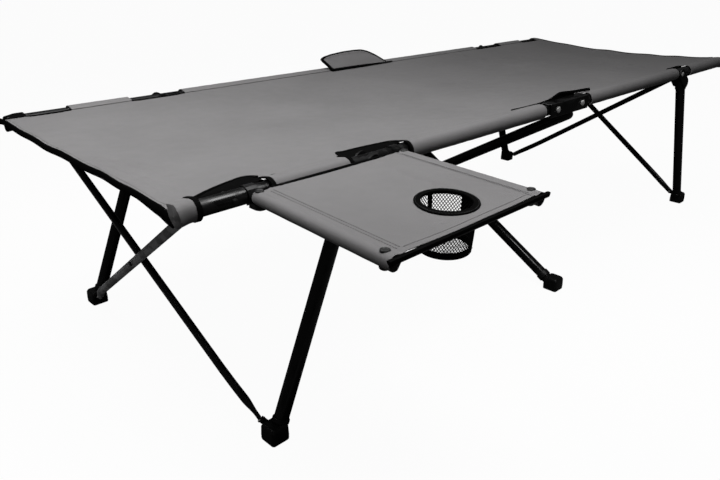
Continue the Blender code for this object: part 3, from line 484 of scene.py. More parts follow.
TUBE_PAINT = PaintedSteel("tube_paint", "black_paint", (0.0030, 0.0030, 0.0031), 0.20, 0.0, 0.35, 0.36)
# Black brace paint lightened to grey: a painted highlight for the one brace whose face catches the light.
BRACE_PAINTED_HIGHLIGHT = PaintedSteel("brace_paint", "black_paint", (0.20, 0.20, 0.203), 0.36, 0.0, 0.35, 0.44)
FITTING_PLASTIC = MouldedPlastic("fitting_plastic", "black_plastic", (0.0032, 0.0032, 0.0033), 0.40,
                                 specular=0.30)
BOLT_ZINC = PlatedZinc("bolt_zinc", "zinc", (0.82, 0.82, 0.81), 0.40, 0.30)
DARK_RIVET = PaintedSteel("dark_rivet", "zinc", (0.006, 0.006, 0.006), 0.26, 0.0, 0.40, 0.5)
DECK_GREY = WovenCloth("deck_grey", "grey_cloth", (0.196, 0.192, 0.194), 0.55, 0.0, 0.09)
BINDING_BLACK = WovenCloth("binding_black", "black_cloth", (0.0032, 0.0032, 0.0032), 0.60, 0.0, 0.012,
                           900.0, 0.00018, 0.04, 0.25)
THREAD_GREY = SewingThread("thread_grey", "grey_cloth", (0.165, 0.162, 0.163), 0.65, 0.0, 0.1)
NET_BLACK = SewingThread("net_black", "black_cloth", (0.005, 0.005, 0.005), 0.6, 0.0, 0.1)
THREAD_BLACK = SewingThread("thread_black", "black_cloth", (0.022, 0.022, 0.022), 0.5, 0.0, 0.3)


def publish(shell: Shape, name: str, finish: Finish, body: str,
            replaced: Sequence[str] = (), sharp: float = 38.0) -> Piece:
    """Turns a bmesh into a finished piece that rides on a body.

    Args:
        shell: The shape, in the row frame; it is freed.
        name: The piece's name.
        finish: Its finish.
        body: The CAD body it rides on.
        replaced: CAD nodes that it stands for.
        sharp: The angle in degrees past which an edge is sharp.

    Returns:
        The new object.
    """
    mesh = bpy.data.meshes.new(name)
    shell.to_mesh(mesh)
    shell.free()
    mesh.shade_smooth()
    mesh.set_sharp_from_angle(angle=math.radians(sharp))
    mesh.materials.append(finish.material())
    piece = bpy.data.objects.new(name, mesh)
    bpy.context.scene.collection.objects.link(piece)
    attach(piece, body)
    if replaced:
        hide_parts(*replaced)
    LOG.info("%s: %d faces on %s", name, len(mesh.polygons), body)
    return piece


def wall(shell: Shape, thickness: float) -> Shape:
    """Gives a sheet its thickness, below its upper face."""
    for face in shell.faces:
        face.normal_update()
    bmesh.ops.solidify(shell, geom=shell.faces[:], thickness=thickness)
    return shell


def soften(piece: Piece, width: float, segments: int = 2, angle: float = 40.0) -> Piece:
    """Rounds a hard piece's edges."""
    modifier = piece.modifiers.new("Rounded edges", "BEVEL")
    modifier.width = width
    modifier.segments = segments
    modifier.limit_method = "ANGLE"
    modifier.angle_limit = math.radians(angle)
    return piece


def smooth_step(value: float) -> float:
    """Eases a value from 0 to 1."""
    value = min(1.0, max(0.0, value))
    return value * value * (3.0 - 2.0 * value)


def follow(points: Sequence[tuple[float, float]], at: float) -> float:
    """Reads a line of points.

    Args:
        points: (position, value) pairs in rising order of position.
        at: The position.

    Returns:
        The value there, held at the ends.
    """
    if at <= points[0][0]:
        return points[0][1]
    for (a, low), (b, high) in zip(points, points[1:]):
        if at <= b:
            return low + (high - low) * (at - a) / (b - a)
    return points[-1][1]


def cloth_grid(columns: int, rows: int, place: Callable[[float, float], Vector],
               spread: tuple[float, float]) -> Shape:
    """A sheet of square faces laid where a function says, with a UV map in metres.

    Args:
        columns: Faces along the sheet.
        rows: Faces across it.
        place: The point for each (along, across) from 0 to 1.
        spread: The sheet's flat length and width.

    Returns:
        The sheet.
    """
    shell = bmesh.new()
    bmesh.ops.create_grid(shell, x_segments=columns, y_segments=rows, size=0.5)
    layer = shell.loops.layers.uv.new(CLOTH_LAYER)
    for face in shell.faces:
        for loop in face.loops:
            flat = loop.vert.co
            loop[layer].uv = ((flat.x + 0.5) * spread[0], (flat.y + 0.5) * spread[1])
    for vert in shell.verts:
        vert.co = place(min(1.0, max(0.0, vert.co.x + 0.5)), min(1.0, max(0.0, vert.co.y + 0.5)))
    return shell


def frame_at(point: Vector, tangent: Vector, side: Vector, wide: float, thick: float) -> Matrix:
    """A ring's place on a path.

    Args:
        point: The ring's centre.
        tangent: The path's direction there.
        side: Roughly the direction of the ring's width.
        wide: Half of the ring's width.
        thick: Half of its thickness.

    Returns:
        The matrix that takes a unit circle there.
    """
    z = tangent.normalized()
    x = (side - z * side.dot(z)).normalized()
    y = z.cross(x)
    turn = Matrix((x * wide, y * thick, z)).transposed().to_4x4()
    return Matrix.Translation(point) @ turn


def course(path: Sequence[Vector], index: int) -> Vector:
    """A path's direction at one of its points, of any length."""
    return path[min(index + 1, len(path) - 1)] - path[max(index - 1, 0)]


def straight(start: Vector, stop: Vector, steps: int) -> list[Vector]:
    """Evenly spaced points from one point to another."""
    return [start.lerp(stop, step / steps) for step in range(steps + 1)]


def squared(ring: Sequence[bmesh.types.BMVert], square: float) -> None:
    """Draws a unit circle's points out towards a square."""
    for vert in ring:
        reach = max(abs(vert.co.x), abs(vert.co.y))
        vert.co *= 1.0 + square * (1.0 / reach - 1.0)


def grow(shell: Shape, edges: list, move: Matrix) -> tuple[list, list, list]:
    """Extrudes a ring of edges and moves the new ring.

    Args:
        shell: The shape that grows.
        edges: The last ring's edges.
        move: The matrix that takes the last ring to the new one.

    Returns:
        The new ring's points and edges, and the faces between the rings.
    """
    grown = bmesh.ops.extrude_edge_only(shell, edges=edges)["geom"]
    kinds = (bmesh.types.BMVert, bmesh.types.BMEdge, bmesh.types.BMFace)
    ring, fresh, faces = ([item for item in grown if isinstance(item, kind)] for kind in kinds)
    bmesh.ops.transform(shell, matrix=move, verts=ring)
    return ring, fresh, faces


def capped(shell: Shape) -> Shape:
    """Closes a shape's open ends and turns its faces outwards."""
    bmesh.ops.holes_fill(shell, edges=[edge for edge in shell.edges if edge.is_boundary], sides=0)
    bmesh.ops.recalc_face_normals(shell, faces=shell.faces)
    return shell


def sweep(frames: Sequence[Matrix], segments: int = 24, square: float = 0.0) -> Shape:
    """A rod whose rings lie at given places.

    Args:
        frames: Each ring's place.
        segments: Points on a ring.
        square: How far the ring is from round, from 0 to 1.

    Returns:
        The closed rod, with a UV map in metres.
    """
    shell = bmesh.new()
    layer = shell.loops.layers.uv.new(CLOTH_LAYER)
    made = bmesh.ops.create_circle(shell, cap_ends=False, segments=segments, radius=1.0)["verts"]
    squared(made, square)
    bmesh.ops.transform(shell, matrix=frames[0], verts=made)
    edges = list(shell.edges)
    along = 0.0
    for before, after in zip(frames, frames[1:]):
        ring, edges, faces = grow(shell, edges, after @ before.inverted())
        step = (after.translation - before.translation).length
        fresh = set(ring)
        around = (before.col[0].to_3d().length + before.col[1].to_3d().length) * math.pi / segments
        for index, face in enumerate(faces):
            for loop in face.loops:
                beside = loop.link_loop_next.vert in fresh or loop.link_loop_prev.vert in fresh
                run = along + (step if loop.vert in fresh else 0.0)
                loop[layer].uv = (run, (index + (1 if beside else 0)) * around)
        along += step
    return capped(shell)


def rod_frames(points: Sequence[Vector], side: Vector, wide: float, thick: float,
               rounded: bool = True) -> list[Matrix]:
    """Rings along a path.

    Args:
        points: The path.
        side: Roughly the direction of the rod's width.
        wide: Half of its width.
        thick: Half of its thickness.
        rounded: Whether its ends are domes about the first and last points.

    Returns:
        The rings' places.
    """
    frames = []
    last = len(points) - 1
    for index, point in enumerate(points):
        tangent = course(points, index)
        if not rounded or 0 < index < last:
            frames.append(frame_at(point, tangent, side, wide, thick))
            continue
        outward = tangent.normalized() * (-1.0 if index == 0 else 1.0)
        dome = []
        for step in range(5):
            angle = math.pi / 2 * step / 5
            cap = math.cos(angle)
            away = outward * (math.sin(angle) * min(wide, thick))
            dome.append(frame_at(point + away, tangent, side, wide * cap, thick * cap))
        frames.extend(reversed(dome) if index == 0 else dome)
    return frames


def curve_through(points: Sequence[Vector], steps: int = 6) -> list[Vector]:
    """A smooth path through points.

    Args:
        points: What it passes through.
        steps: Stretches between two points.

    Returns:
        The path's points.
    """
    path = []
    last = len(points) - 1
    for index in range(last):
        a, b = points[max(index - 1, 0)], points[index]
        c, d = points[index + 1], points[min(index + 2, last)]
        for step in range(steps):
            t = step / steps
            path.append(0.5 * (2 * b + (c - a) * t + (2 * a - 5 * b + 4 * c - d) * t ** 2
                               + (3 * b - a - 3 * c + d) * t ** 3))
    path.append(Vector(points[-1]))
    return path


def stitches(name: str, runs: Sequence[Sequence[Vector]], body: str, pitch: float = 0.0046,
             length: float = 0.0031, radius: float = 0.0004, thread: Finish = THREAD_GREY) -> Piece:
    """Rows of lockstitches along paths.

    Args:
        name: The piece's name.
        runs: The paths.
        body: The body it rides on.
        pitch: From one stitch to the next.
        length: A stitch's length.
        radius: The thread's radius.
        thread: The thread's finish.

    Returns:
        The stitches, as one piece.
    """
    shell = bmesh.new()
    for run in runs:
        gone = pitch / 2
        for start, stop in zip(run, run[1:]):
            stretch = (stop - start).length
            heading = (stop - start).normalized()
            while gone < stretch:
                turn = UP.rotation_difference(heading).to_matrix().to_4x4()
                matrix = Matrix.Translation(start + heading * gone) @ turn
                bmesh.ops.create_cone(shell, cap_ends=True, segments=5, radius1=radius, radius2=radius,
                                      depth=length, matrix=matrix)
                gone += pitch
            gone -= stretch
    return publish(shell, name, thread, body)


def brace_plane(end: End) -> tuple[Vector, Vector, Vector, Vector]:
    """The leaning plane that an end's two braces lie in.

    Args:
        end: The end.

    Returns:
        Its lower middle, its upper middle, its direction upwards and its normal.
    """
    foot = Vector((end.value * BRACE_FOOT[0], MIDDLE_Y, BRACE_FOOT[1]))
    top = Vector((end.value * BRACE_TOP_X, MIDDLE_Y, RAIL_HEIGHT))
    up = (top - foot).normalized()
    return foot, top, up, Vector((end.value * up.z, 0.0, -end.value * up.x))


@dataclass
class Tubes:
    """The frame's tubes: rails, end legs, middle legs and braces."""

    rail_radius: float = 0.0125
    leg_radius: float = 0.0125
    tip_x: float = 0.9525
    knuckle_x: float = 0.630
    socket: float = 0.0415
    cad_crossing_z: float = 0.2386
    brace_size: tuple[float, float] = (0.0085, 0.0066)
    tab_size: tuple[float, float] = (0.0078, 0.0024)
    tab_round: float = 0.0072
    brace_bow: float = 0.0115
    brace_lane: float = 0.0085
    bends: tuple = ((0.0, 0.0), (0.0105, 0.0), (0.022, 0.05), (0.036, 0.22), (0.056, 0.52), (0.080, 0.80),
                    (0.108, 0.96), (0.135, 1.0))
    crossing_z: float = 0.2263
    crossing_rivet: tuple = ((-0.0290, 0.0042), (-0.0280, 0.0055), (0.0280, 0.0055), (0.0290, 0.0042))

    def build(self) -> None:
        """Builds every tube, and the rivet on which the middle legs cross."""
        for end in End:
            for side in Side:
                self.rail(end, side)
                self.leg(end, side)
                self.brace(end, side)
        for side in Side:
            self.middle_leg(side)
        frames = [frame_at(Vector((x, MIDDLE_Y, self.crossing_z)), ALONG, UP, size, size)
                  for x, size in self.crossing_rivet]
        rivet = publish(sweep(frames, 24), "middle_leg_crossing_rivet", DARK_RIVET, "near_middle_leg",
                        ["middle_leg_crossing_pin"])
        soften(rivet, 0.0006)

    def rail(self, end: End, side: Side) -> None:
        """A straight rail from its hinge bolt to its tip."""
        start = Vector((end.value * HINGE_X, side.rail_y, RAIL_HEIGHT))
        tip = Vector((end.value * self.tip_x, side.rail_y, RAIL_HEIGHT))
        frames = rod_frames(straight(start, tip, 12), UP, self.rail_radius, self.rail_radius)
        name = f"{end.label}_{side.label}_rail"
        publish(sweep(frames, 32), f"{name}_tube", TUBE_PAINT, name, [name])

    def leg(self, end: End, side: Side) -> None:
        """An inclined leg from its knuckle's socket into its boot."""
        top = Vector((end.value * LEG_TOP_X, side.rail_y, RAIL_HEIGHT))
        foot = Vector((end.value * LEG_FOOT_X, side.rail_y, 0.0))
        down = (foot - top).normalized()
        stop = top + down * ((LEG_END_Z - RAIL_HEIGHT) / down.z)
        bolt = Vector((end.value * self.knuckle_x, side.rail_y, RAIL_HEIGHT))
        start = top + down * ((bolt - top).dot(down) + self.socket)
        frames = rod_frames(straight(start, stop, 10), ACROSS, self.leg_radius, self.leg_radius)
        name = f"{end.label}_{side.label}_leg"
        publish(sweep(frames, 32, 0.12), f"{name}_tube", TUBE_PAINT, name, [name])

    def middle_leg(self, side: Side) -> None:
        """A middle leg from its bracket down to the other side's boot, and its moulded head."""
        sign = side.value
        slope = HALF_WIDTH / (RAIL_HEIGHT - self.cad_crossing_z)
        reach = (self.cad_crossing_z - LEG_END_Z) * slope
        foot = Vector((-sign * MIDDLE_LEG_X, MIDDLE_Y - sign * reach, LEG_END_Z))
        top = Vector((-sign * MIDDLE_LEG_X, side.rail_y + sign * MIDDLE_LEG_LAP, MIDDLE_LEG_TOP_Z))
        frames = rod_frames(straight(top, foot, 14), ALONG, self.leg_radius, self.leg_radius)
        body = f"{side.label}_middle_leg"
        node = f"middle_leg_from_{side.label}_rail"
        publish(sweep(frames, 32, 0.12), f"{body}_tube", TUBE_PAINT, body, [node])
        pin = Vector((-sign * MIDDLE_LEG_X, side.rail_y, RAIL_HEIGHT))
        head = rod_frames([pin, top.lerp(pin, 0.1)], ACROSS, 0.0105, 0.0088)
        soften(publish(sweep(head, 24, 0.5), f"{body}_head", FITTING_PLASTIC, body), 0.0006)

    def brace(self, end: End, side: Side) -> None:
        """A flattened brace with a joggle at each end, on its own lane at the crossing."""
        foot, top, _, normal = brace_plane(end)
        across = Vector((0.0, side.value * (HALF_WIDTH - BRACE_INSET), 0.0))
        upper, lower = top + across, foot - across
        down = (lower - upper).normalized()
        length = (lower - upper).length
        lane = self.brace_lane if side is Side.NEAR else -self.brace_lane
        offset = normal * (self.brace_bow + lane)
        stations = [*self.bends, (length / 2, 1.0)]
        stations += [(length - distance, share) for distance, share in reversed(self.bends)]
        path = curve_through([upper + down * distance + offset * share for distance, share in stations], 4)
        wide = normal.cross(down)
        frames = []
        for index, point in enumerate(path):
            gone = min((point - upper).length, (point - lower).length)
            swell = smooth_step((gone - 0.012) / 0.034)
            sizes = [tab + (full - tab) * swell for tab, full in zip(self.tab_size, self.brace_size)]
            frames.append(frame_at(point, course(path, index), wide, *sizes))
        caps = []
        for tip, sign in ((path[0], -1.0), (path[-1], 1.0)):
            cap = []
            for step in range(1, 6):
                angle = math.pi / 2 * step / 5.3
                away = down * (sign * math.sin(angle) * self.tab_round)
                narrow = self.tab_size[0] * math.cos(angle)
                cap.append(frame_at(tip + away, down, wide, narrow, self.tab_size[1]))
            caps.append(cap)
        frames = [*reversed(caps[0]), *frames, *caps[1]]
        body = f"{end.label}_{side.label}_brace"
        node = f"{end.label}_brace_from_{side.label}_rail"
        # The left near brace takes the grey paint, a painted highlight where its face catches the light.
        paint = BRACE_PAINTED_HIGHLIGHT if side is Side.NEAR and end is End.LEFT else TUBE_PAINT
        publish(sweep(frames, 24, 0.15), f"{body}_tube", paint, body, [node])


@dataclass
class Boots:
    """The six moulded feet."""

    width: float = 0.0365
    height: float = 0.0315
    shoulder: float = 0.0050
    collar: float = 0.0152
    end_grip: float = 0.0082
    middle_grip: float = 0.0142
    middle_start: float = 0.0130
    middle_reach: float = 0.374
    middle_leg_reach: float = 0.363

    def build(self) -> None:
        """Builds the end boots with their braces' ears, and the middle boots."""
        for end in End:
            for side in Side:
                name = f"{end.label}_{side.label}_boot"
                body = f"{end.label}_{side.label}_leg"
                up = Vector((-end.value * (LEG_FOOT_X - LEG_TOP_X), 0.0, RAIL_HEIGHT)).normalized()
                foot = Vector((end.value * LEG_FOOT_X, side.rail_y, 0.0))
                self.block(name, body, foot)
                self.grip(name, body, foot + up * (self.height / up.z * 0.90), up, self.end_grip)
                self.ear(name, body, end, side)
        for side in Side:
            sign = side.value
            name = f"{side.label}_middle_boot"
            body = "far_middle_leg" if side is Side.NEAR else "near_middle_leg"
            self.block(name, body, Vector((sign * MIDDLE_LEG_X, MIDDLE_Y + sign * self.middle_reach, 0.0)))
            axis = Vector((sign * MIDDLE_LEG_X, MIDDLE_Y + sign * self.middle_leg_reach, LEG_END_Z))
            top = Vector((axis.x, MIDDLE_Y - sign * (HALF_WIDTH + MIDDLE_LEG_LAP), MIDDLE_LEG_TOP_Z))
            up = (top - axis).normalized()
            self.grip(name, body, axis + up * self.middle_start, up, self.middle_grip)

    def block(self, name: str, body: str, foot: Vector) -> None:
        """A boot's shouldered block, with a tread line round its sole.

        Args:
            name: The name of the piece and of the CAD node it stands for.
            body: The body it rides on.
            foot: The middle of its sole.
        """
        levels = ((0.0, 0.96), (0.0052, 1.0), (0.0060, 0.972), (0.0072, 0.972), (0.0080, 1.0),
                  (self.height - self.shoulder, 0.965), (self.height - 0.0012, 0.86), (self.height, 0.80))
        frames = []
        for level, share in levels:
            half = self.width / 2 * share
            turn = Matrix.Rotation(math.pi / 4, 4, "Z") @ Matrix.Diagonal((half, half, 1.0, 1.0))
            frames.append(Matrix.Translation(foot + Vector((0.0, 0.0, level))) @ turn)
        shell = bmesh.new()
        made = bmesh.ops.create_circle(shell, cap_ends=False, segments=4, radius=math.sqrt(2.0))
        bmesh.ops.transform(shell, matrix=frames[0], verts=made["verts"])
        edges = list(shell.edges)
        for before, after in zip(frames, frames[1:]):
            _, edges, _ = grow(shell, edges, after @ before.inverted())
        capped(shell)
        posts = [edge for edge in shell.edges if abs(edge.verts[0].co.z - edge.verts[1].co.z) > 0.0005]
        bmesh.ops.bevel(shell, geom=posts, offset=0.0046, offset_type="OFFSET", affect="EDGES", segments=4,
                        profile=0.5, material=-1)
        soften(publish(shell, name, FITTING_PLASTIC, body, [name]), 0.0007, 2, 30.0)

    def grip(self, name: str, body: str, start: Vector, up: Vector, length: float) -> None:
        """The collar round a leg where it enters its boot.

        Args:
            name: The boot's name.
            body: The body it rides on.
            start: The middle of the collar's lower end.
            up: The leg's direction, upwards.
            length: The collar's length.
        """
        side = ACROSS if abs(up.y) < 0.5 else ALONG
        frames = rod_frames([start, start + up * length], side, self.collar, self.collar, False)
        soften(publish(sweep(frames, 32), f"{name}_collar", FITTING_PLASTIC, body), 0.0012)

    @staticmethod
    def ear(name: str, body: str, end: End, side: Side) -> None:
        """The ear that a brace's lower end is pinned to, with its pin."""
        foot, _, up, normal = brace_plane(end)
        pivot = foot + Vector((0.0, side.value * (HALF_WIDTH - BRACE_INSET), 0.0))
        back = pivot - normal * 0.0043
        root = back + Vector((0.0, side.value * 0.015, 0.0))
        frames = rod_frames([back, root], up, 0.0062, 0.0015)
        soften(publish(sweep(frames, 20, 0.5), f"{name}_ear", FITTING_PLASTIC, body), 0.0006)
        pin = rod_frames([pivot - normal * 0.0062, pivot + normal * 0.0034], up, 0.0026, 0.0026)
        publish(sweep(pin, 14), f"{name}_brace_pin", BOLT_ZINC, body)


@dataclass
class Fittings:
    """Brackets, knuckles, swivels, clamps, bolts and rivets that the CAD frame already shapes."""

    nodes: dict = field(default_factory=dict)

    def build(self) -> None:
        """Gives each carried-over CAD node its finish."""
        for name, node in self.nodes.items():
            if node.hide_render or name.startswith("deck_"):
                continue
            finish = self.finish_of(name)
            node.data.materials.clear()
            node.data.materials.append(finish.material())

    @staticmethod
    def finish_of(name: str) -> Finish:
        """The finish for the kind of part that a node's name tells."""
        if "rivet" in name or "pivot" in name or name.endswith("crossing_pin"):
            return DARK_RIVET
        if "bolt" in name or "pin" in name:
            return BOLT_ZINC
        return FITTING_PLASTIC if "knuckle" in name else TUBE_PAINT


@dataclass
class DeckCloth:
    """The deck's cloth: sleeves round the rails, panels, hems, cut-outs' bindings and seams."""

    seam_inset: float = 0.018
    seam_height: float = 0.4549
    sleeve_radius: float = 0.0148
    sag: float = 0.012
    thickness: float = 0.0011
    span: tuple[float, float] = (-0.976, 0.970)
    near_seam: float = -0.195
    far_seam: float = 0.439
    keep: float = 0.088
    tuck: float = 0.0016
    band: float = 0.0075
    near_edge: tuple = (
        (-0.945, -0.1950), (-0.928, -0.1895), (-0.912, -0.1840), (-0.879, -0.1730), (-0.850, -0.1655),
        (-0.840, -0.1660), (-0.833, -0.1720), (-0.829, -0.1820), (-0.828, -0.1950),
        (-0.674, -0.1950), (-0.664, -0.1800), (-0.654, -0.1610), (-0.646, -0.1680), (-0.605, -0.1695),
        (-0.573, -0.1735), (-0.545, -0.1770), (-0.538, -0.1830), (-0.535, -0.1950),
        (0.606, -0.1950), (0.612, -0.1895), (0.690, -0.1895), (0.697, -0.1950),
    )
    far_edge: tuple = (
        (-0.925, 0.4390), (-0.915, 0.4362), (-0.865, 0.4355), (-0.845, 0.4390), (-0.703, 0.4390),
        (-0.692, 0.4362), (-0.600, 0.4345), (-0.580, 0.4390), (0.560, 0.4390), (0.575, 0.4355),
        (0.690, 0.4355), (0.703, 0.4390), (0.841, 0.4390), (0.855, 0.4355), (0.925, 0.4355),
        (0.940, 0.4390),
    )
    left_end: tuple = ((-0.20, -0.9805), (0.05, -0.9765), (0.45, -0.9715))
    right_end: tuple = ((-0.20, 0.9500), (0.02, 0.9620), (0.30, 0.9690), (0.45, 0.9700))
    pieces: list = field(default_factory=list)

    def build(self) -> None:
        """Builds all of the deck's cloth."""
        self.panel("left", self.span[0], -HINGE_X, "left_near_rail", "deck_left")
        self.panel("middle", -HINGE_X, HINGE_X, "near_bracket", "deck_middle")
        self.panel("right", HINGE_X, self.span[1], "right_near_rail", "deck_right")
        self.sleeves()
        self.hems()
        self.bindings()
        self.seams()

    def height(self, x: float, y: float) -> float:
        """The cloth's upper face between the seams.

        Args:
            x: Along the cot.
            y: Across it.

        Returns:
            The height.
        """
        t = (y - MIDDLE_Y) / ((self.far_seam - self.near_seam) / 2)
        t = max(-1.0, min(1.0, t))
        left = math.exp(-((x - self.span[0]) / 0.11) ** 2)
        right = math.exp(-((x - self.span[1]) / 0.16) ** 2)
        sag = self.sag - 0.005 * left + 0.002 * right
        droop = 0.0085 * math.exp(-((x + 0.986) / 0.042) ** 2) * math.exp(-((y + 0.170) / 0.075) ** 2)
        droop += 0.0085 * math.exp(-((x + 0.990) / 0.020) ** 2) * smooth_step((-0.165 - y) / 0.03)
        inboard = max(0.0, y - self.near_seam)
        ease = 0.0018 * (1.0 - math.exp(-inboard / 0.014))
        return self.seam_height - sag * (1.0 - t * t) - droop - ease + self.creases(x, y) * (1.0 - t ** 4)

    @staticmethod
    def creases(x: float, y: float) -> float:
        """Handling creases and pull lines in the cloth, as a height."""
        near_hem = math.exp(-((x + 0.955) / 0.042) ** 2) * smooth_step((0.14 - y) / 0.16)
        wander = noise.noise(Vector((x * 9.0, y * 7.0, 2.0)))
        ripples = 0.0015 * near_hem * math.sin((x + 0.16 * y) * 2 * math.pi / 0.024 + 3.0 * wander)
        hem_wave = 0.0012 * math.exp(-((abs(x) - 0.975) / 0.03) ** 2) * math.sin(y * 47.0 + 2.0 * wander)
        pulls = 0.0003 * noise.noise(Vector((x * 5.0, y * 17.0, 5.0)))
        broad = 0.0018 * noise.noise(Vector((x * 3.1, y * 5.2, 9.0)))
        slant = math.sin((y + 0.22 * x) * 2 * math.pi / 0.088)
        streak = 0.0007 * math.exp(-((x - 0.55) / 0.25) ** 2) * slant
        return ripples + hem_wave + pulls + broad + streak

    def edge(self, side: Side, x: float) -> float:
        """Where the panel starts on a side, smoothed over a few millimetres."""
        line = self.near_edge if side is Side.NEAR else self.far_edge
        return sum(follow(line, x + shift) for shift in (-0.003, 0.0, 0.003)) / 3.0

    def panel(self, label: str, low: float, high: float, body: str, node: str) -> None:
        """A stretch of the deck between its side seams.

        Args:
            label: Its name.
            low: Its lower end along the cot.
            high: Its upper end.
            body: The body it rides on.
            node: The CAD node it stands for.
        """
        width = self.far_seam - self.near_seam
        rows = 64

        def place(u: float, v: float) -> Vector:
            """The cloth's point."""
            x = low + (high - low) * u
            y = self.edge(Side.NEAR, x) + (self.edge(Side.FAR, x) - self.edge(Side.NEAR, x)) * v
            if label == "left":
                x += (follow(self.left_end, y) - low) * (1.0 - u) ** 14
            elif label == "right":
                x += (follow(self.right_end, y) - high) * u ** 14
            last_row = max(0.0, abs(v - 0.5) * rows - (rows / 2 - 1))
            under = self.tuck * last_row * (-1.0 if v < 0.5 else 1.0)
            lowered = 0.0005 * last_row if v < 0.5 else 0.0
            return Vector((x, y + under, self.height(x, y) - lowered))

        columns = max(18, round((high - low) / 0.0055))
        shell = wall(cloth_grid(columns, rows, place, (high - low, width)), self.thickness)
        piece = publish(shell, f"deck_panel_{label}", DECK_GREY, body, [node], 60.0)
        self.fold_in(piece)
        self.pieces.append((piece, (high - low, width)))

    def fold_in(self, piece: Piece) -> None:
        """Gives a piece its own copy of its mesh."""
        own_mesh(piece)

    def teardrop(self, along: float) -> tuple[float, float]:
        """The sleeve's section round a rail.

        Args:
            along: From 0 at the upper seam to 1 at the lower seam.

        Returns:
            The distance inboard of the rail's axis and the height over it.
        """
        radius = self.sleeve_radius
        first, last = 0.16, 0.86
        upper = Vector((self.seam_inset, self.seam_height - RAIL_HEIGHT))
        lower = upper - Vector((0.0012, 0.0030))
        start = math.atan2(upper.y, upper.x) + math.acos(radius / upper.length)
        stop = 2 * math.pi + math.atan2(lower.y, lower.x) - math.acos(min(1.0, radius / lower.length))
        if along < first:
            end = Vector((math.cos(start), math.sin(start))) * radius
            return tuple(upper.lerp(end, along / first))
        if along > last:
            end = Vector((math.cos(stop), math.sin(stop))) * radius
            return tuple(end.lerp(lower, (along - last) / (1.0 - last)))
        angle = start + (stop - start) * (along - first) / (last - first)
        return radius * math.cos(angle), radius * math.sin(angle)

    def sleeve(self, name: str, end: End, side: Side, low: float, high: float,
               closed: bool = False, band: bool = False) -> Piece:
        """A stretch of sleeve round a rail, or the black band that binds its end.

        Args:
            name: Its name.
            end: The end it belongs to.
            side: The side it belongs to.
            low: Its start from the middle of the cot.
            high: Its stop from the middle.
            closed: Whether its outer end is folded shut over the rail's tip.
            band: Whether it is a binding rather than the sleeve.

        Returns:
            The piece.
        """
        rim = 0.0006 if band else 0.0
        rows = 30

        def place(u: float, v: float) -> Vector:
            """The cloth's point."""
            along = min(1.0, u / 0.8) if closed else u
            shut = max(0.0, (u - 0.8) / 0.2) if closed else 0.0
            x = low + (high - low) * along
            a, b = self.teardrop(v)
            crinkle = noise.noise(Vector((x * 60.0, v * 6.0, side.value * 3.0)))
            pucker = 0.0004 * crinkle * math.sin(v * math.pi)
            size = 1.0 + (pucker + rim) / self.sleeve_radius
            near_end = smooth_step((x - (high - 0.020)) / 0.020) if closed else 0.0
            fold = 0.0006 * math.sin(v * 21.0 + 1.5) * near_end
            size *= (1.0 - 0.06 * near_end) * math.sqrt(max(0.001, 1.0 - shut * shut))
            x += fold * (1.0 - 0.5 * shut) + 0.0012 * math.sin(shut * math.pi / 2)
            inboard = side.rail_y - side.value * a * size
            lower = 0.0040 * near_end * (1.0 - math.cos(v * 6.28)) / 2 + 0.002 * shut
            if side is Side.FAR:
                lower += 0.0014 * max(0.0, 1.0 - v * rows)
            return Vector((end.value * x, inboard, RAIL_HEIGHT + b * size - lower))

        columns = max(3, round((high - low) / 0.008)) + (8 if closed else 0)
        shell = cloth_grid(columns, rows, place, (high - low, 0.105))
        if (end.value < 0) == (side.value < 0):
            bmesh.ops.reverse_faces(shell, faces=shell.faces)
        rail = f"{end.label}_{side.label}_rail"
        cloth = BINDING_BLACK if band or (closed and rail == "left_far_rail") else DECK_GREY
        return publish(wall(shell, self.thickness + rim), name, cloth, rail, (), 60.0)

    def sleeves(self) -> None:
        """Every stretch of sleeve, and a black band where a left near one stops at a cut-out."""
        rows = {
            (End.LEFT, Side.NEAR): [(0.100, 0.534), (0.681, 0.829), (0.960, 0.9845)],
            (End.RIGHT, Side.NEAR): [(0.100, 0.608), (0.697, 0.9660)],
            (End.LEFT, Side.FAR): [(0.100, 0.575), (0.707, 0.840), (0.930, 0.9640)],
            (End.RIGHT, Side.FAR): [(0.100, 0.560), (0.703, 0.841), (0.940, 0.974)],
        }
        for (end, side), cuts in rows.items():
            banded = end is End.LEFT and side is Side.NEAR
            for index, (low, high) in enumerate(cuts):
                last = index == len(cuts) - 1
                name = f"{end.label}_{side.label}_sleeve_{index + 1}"
                self.pieces.append((self.sleeve(name, end, side, low, high, last), None))
                edges = [(low - self.band, low)] if banded and index > 0 else []
                edges += [(high, high + self.band)] if banded and not last else []
                for count, (start, stop) in enumerate(edges):
                    band = self.sleeve(f"{name}_band_{count + 1}", end, side, start, stop, False, True)
                    self.pieces.append((band, None))

    def strip(self, name: str, path: Sequence[Vector], wide: float, thick: float, body: str,
              side: Vector, square: float = 0.35) -> None:
        """A black binding along a path.

        Args:
            name: Its name.
            path: Its middle line.
            wide: Half of its width.
            thick: Half of its thickness.
            body: The body it rides on.
            side: The direction of its width.
            square: How square its section is.
        """
        frames = rod_frames(path, side, wide, thick)
        piece = publish(sweep(frames, 14, square), name, BINDING_BLACK, body, (), 50.0)
        self.fold_in(piece)
        self.pieces.append((piece, None))

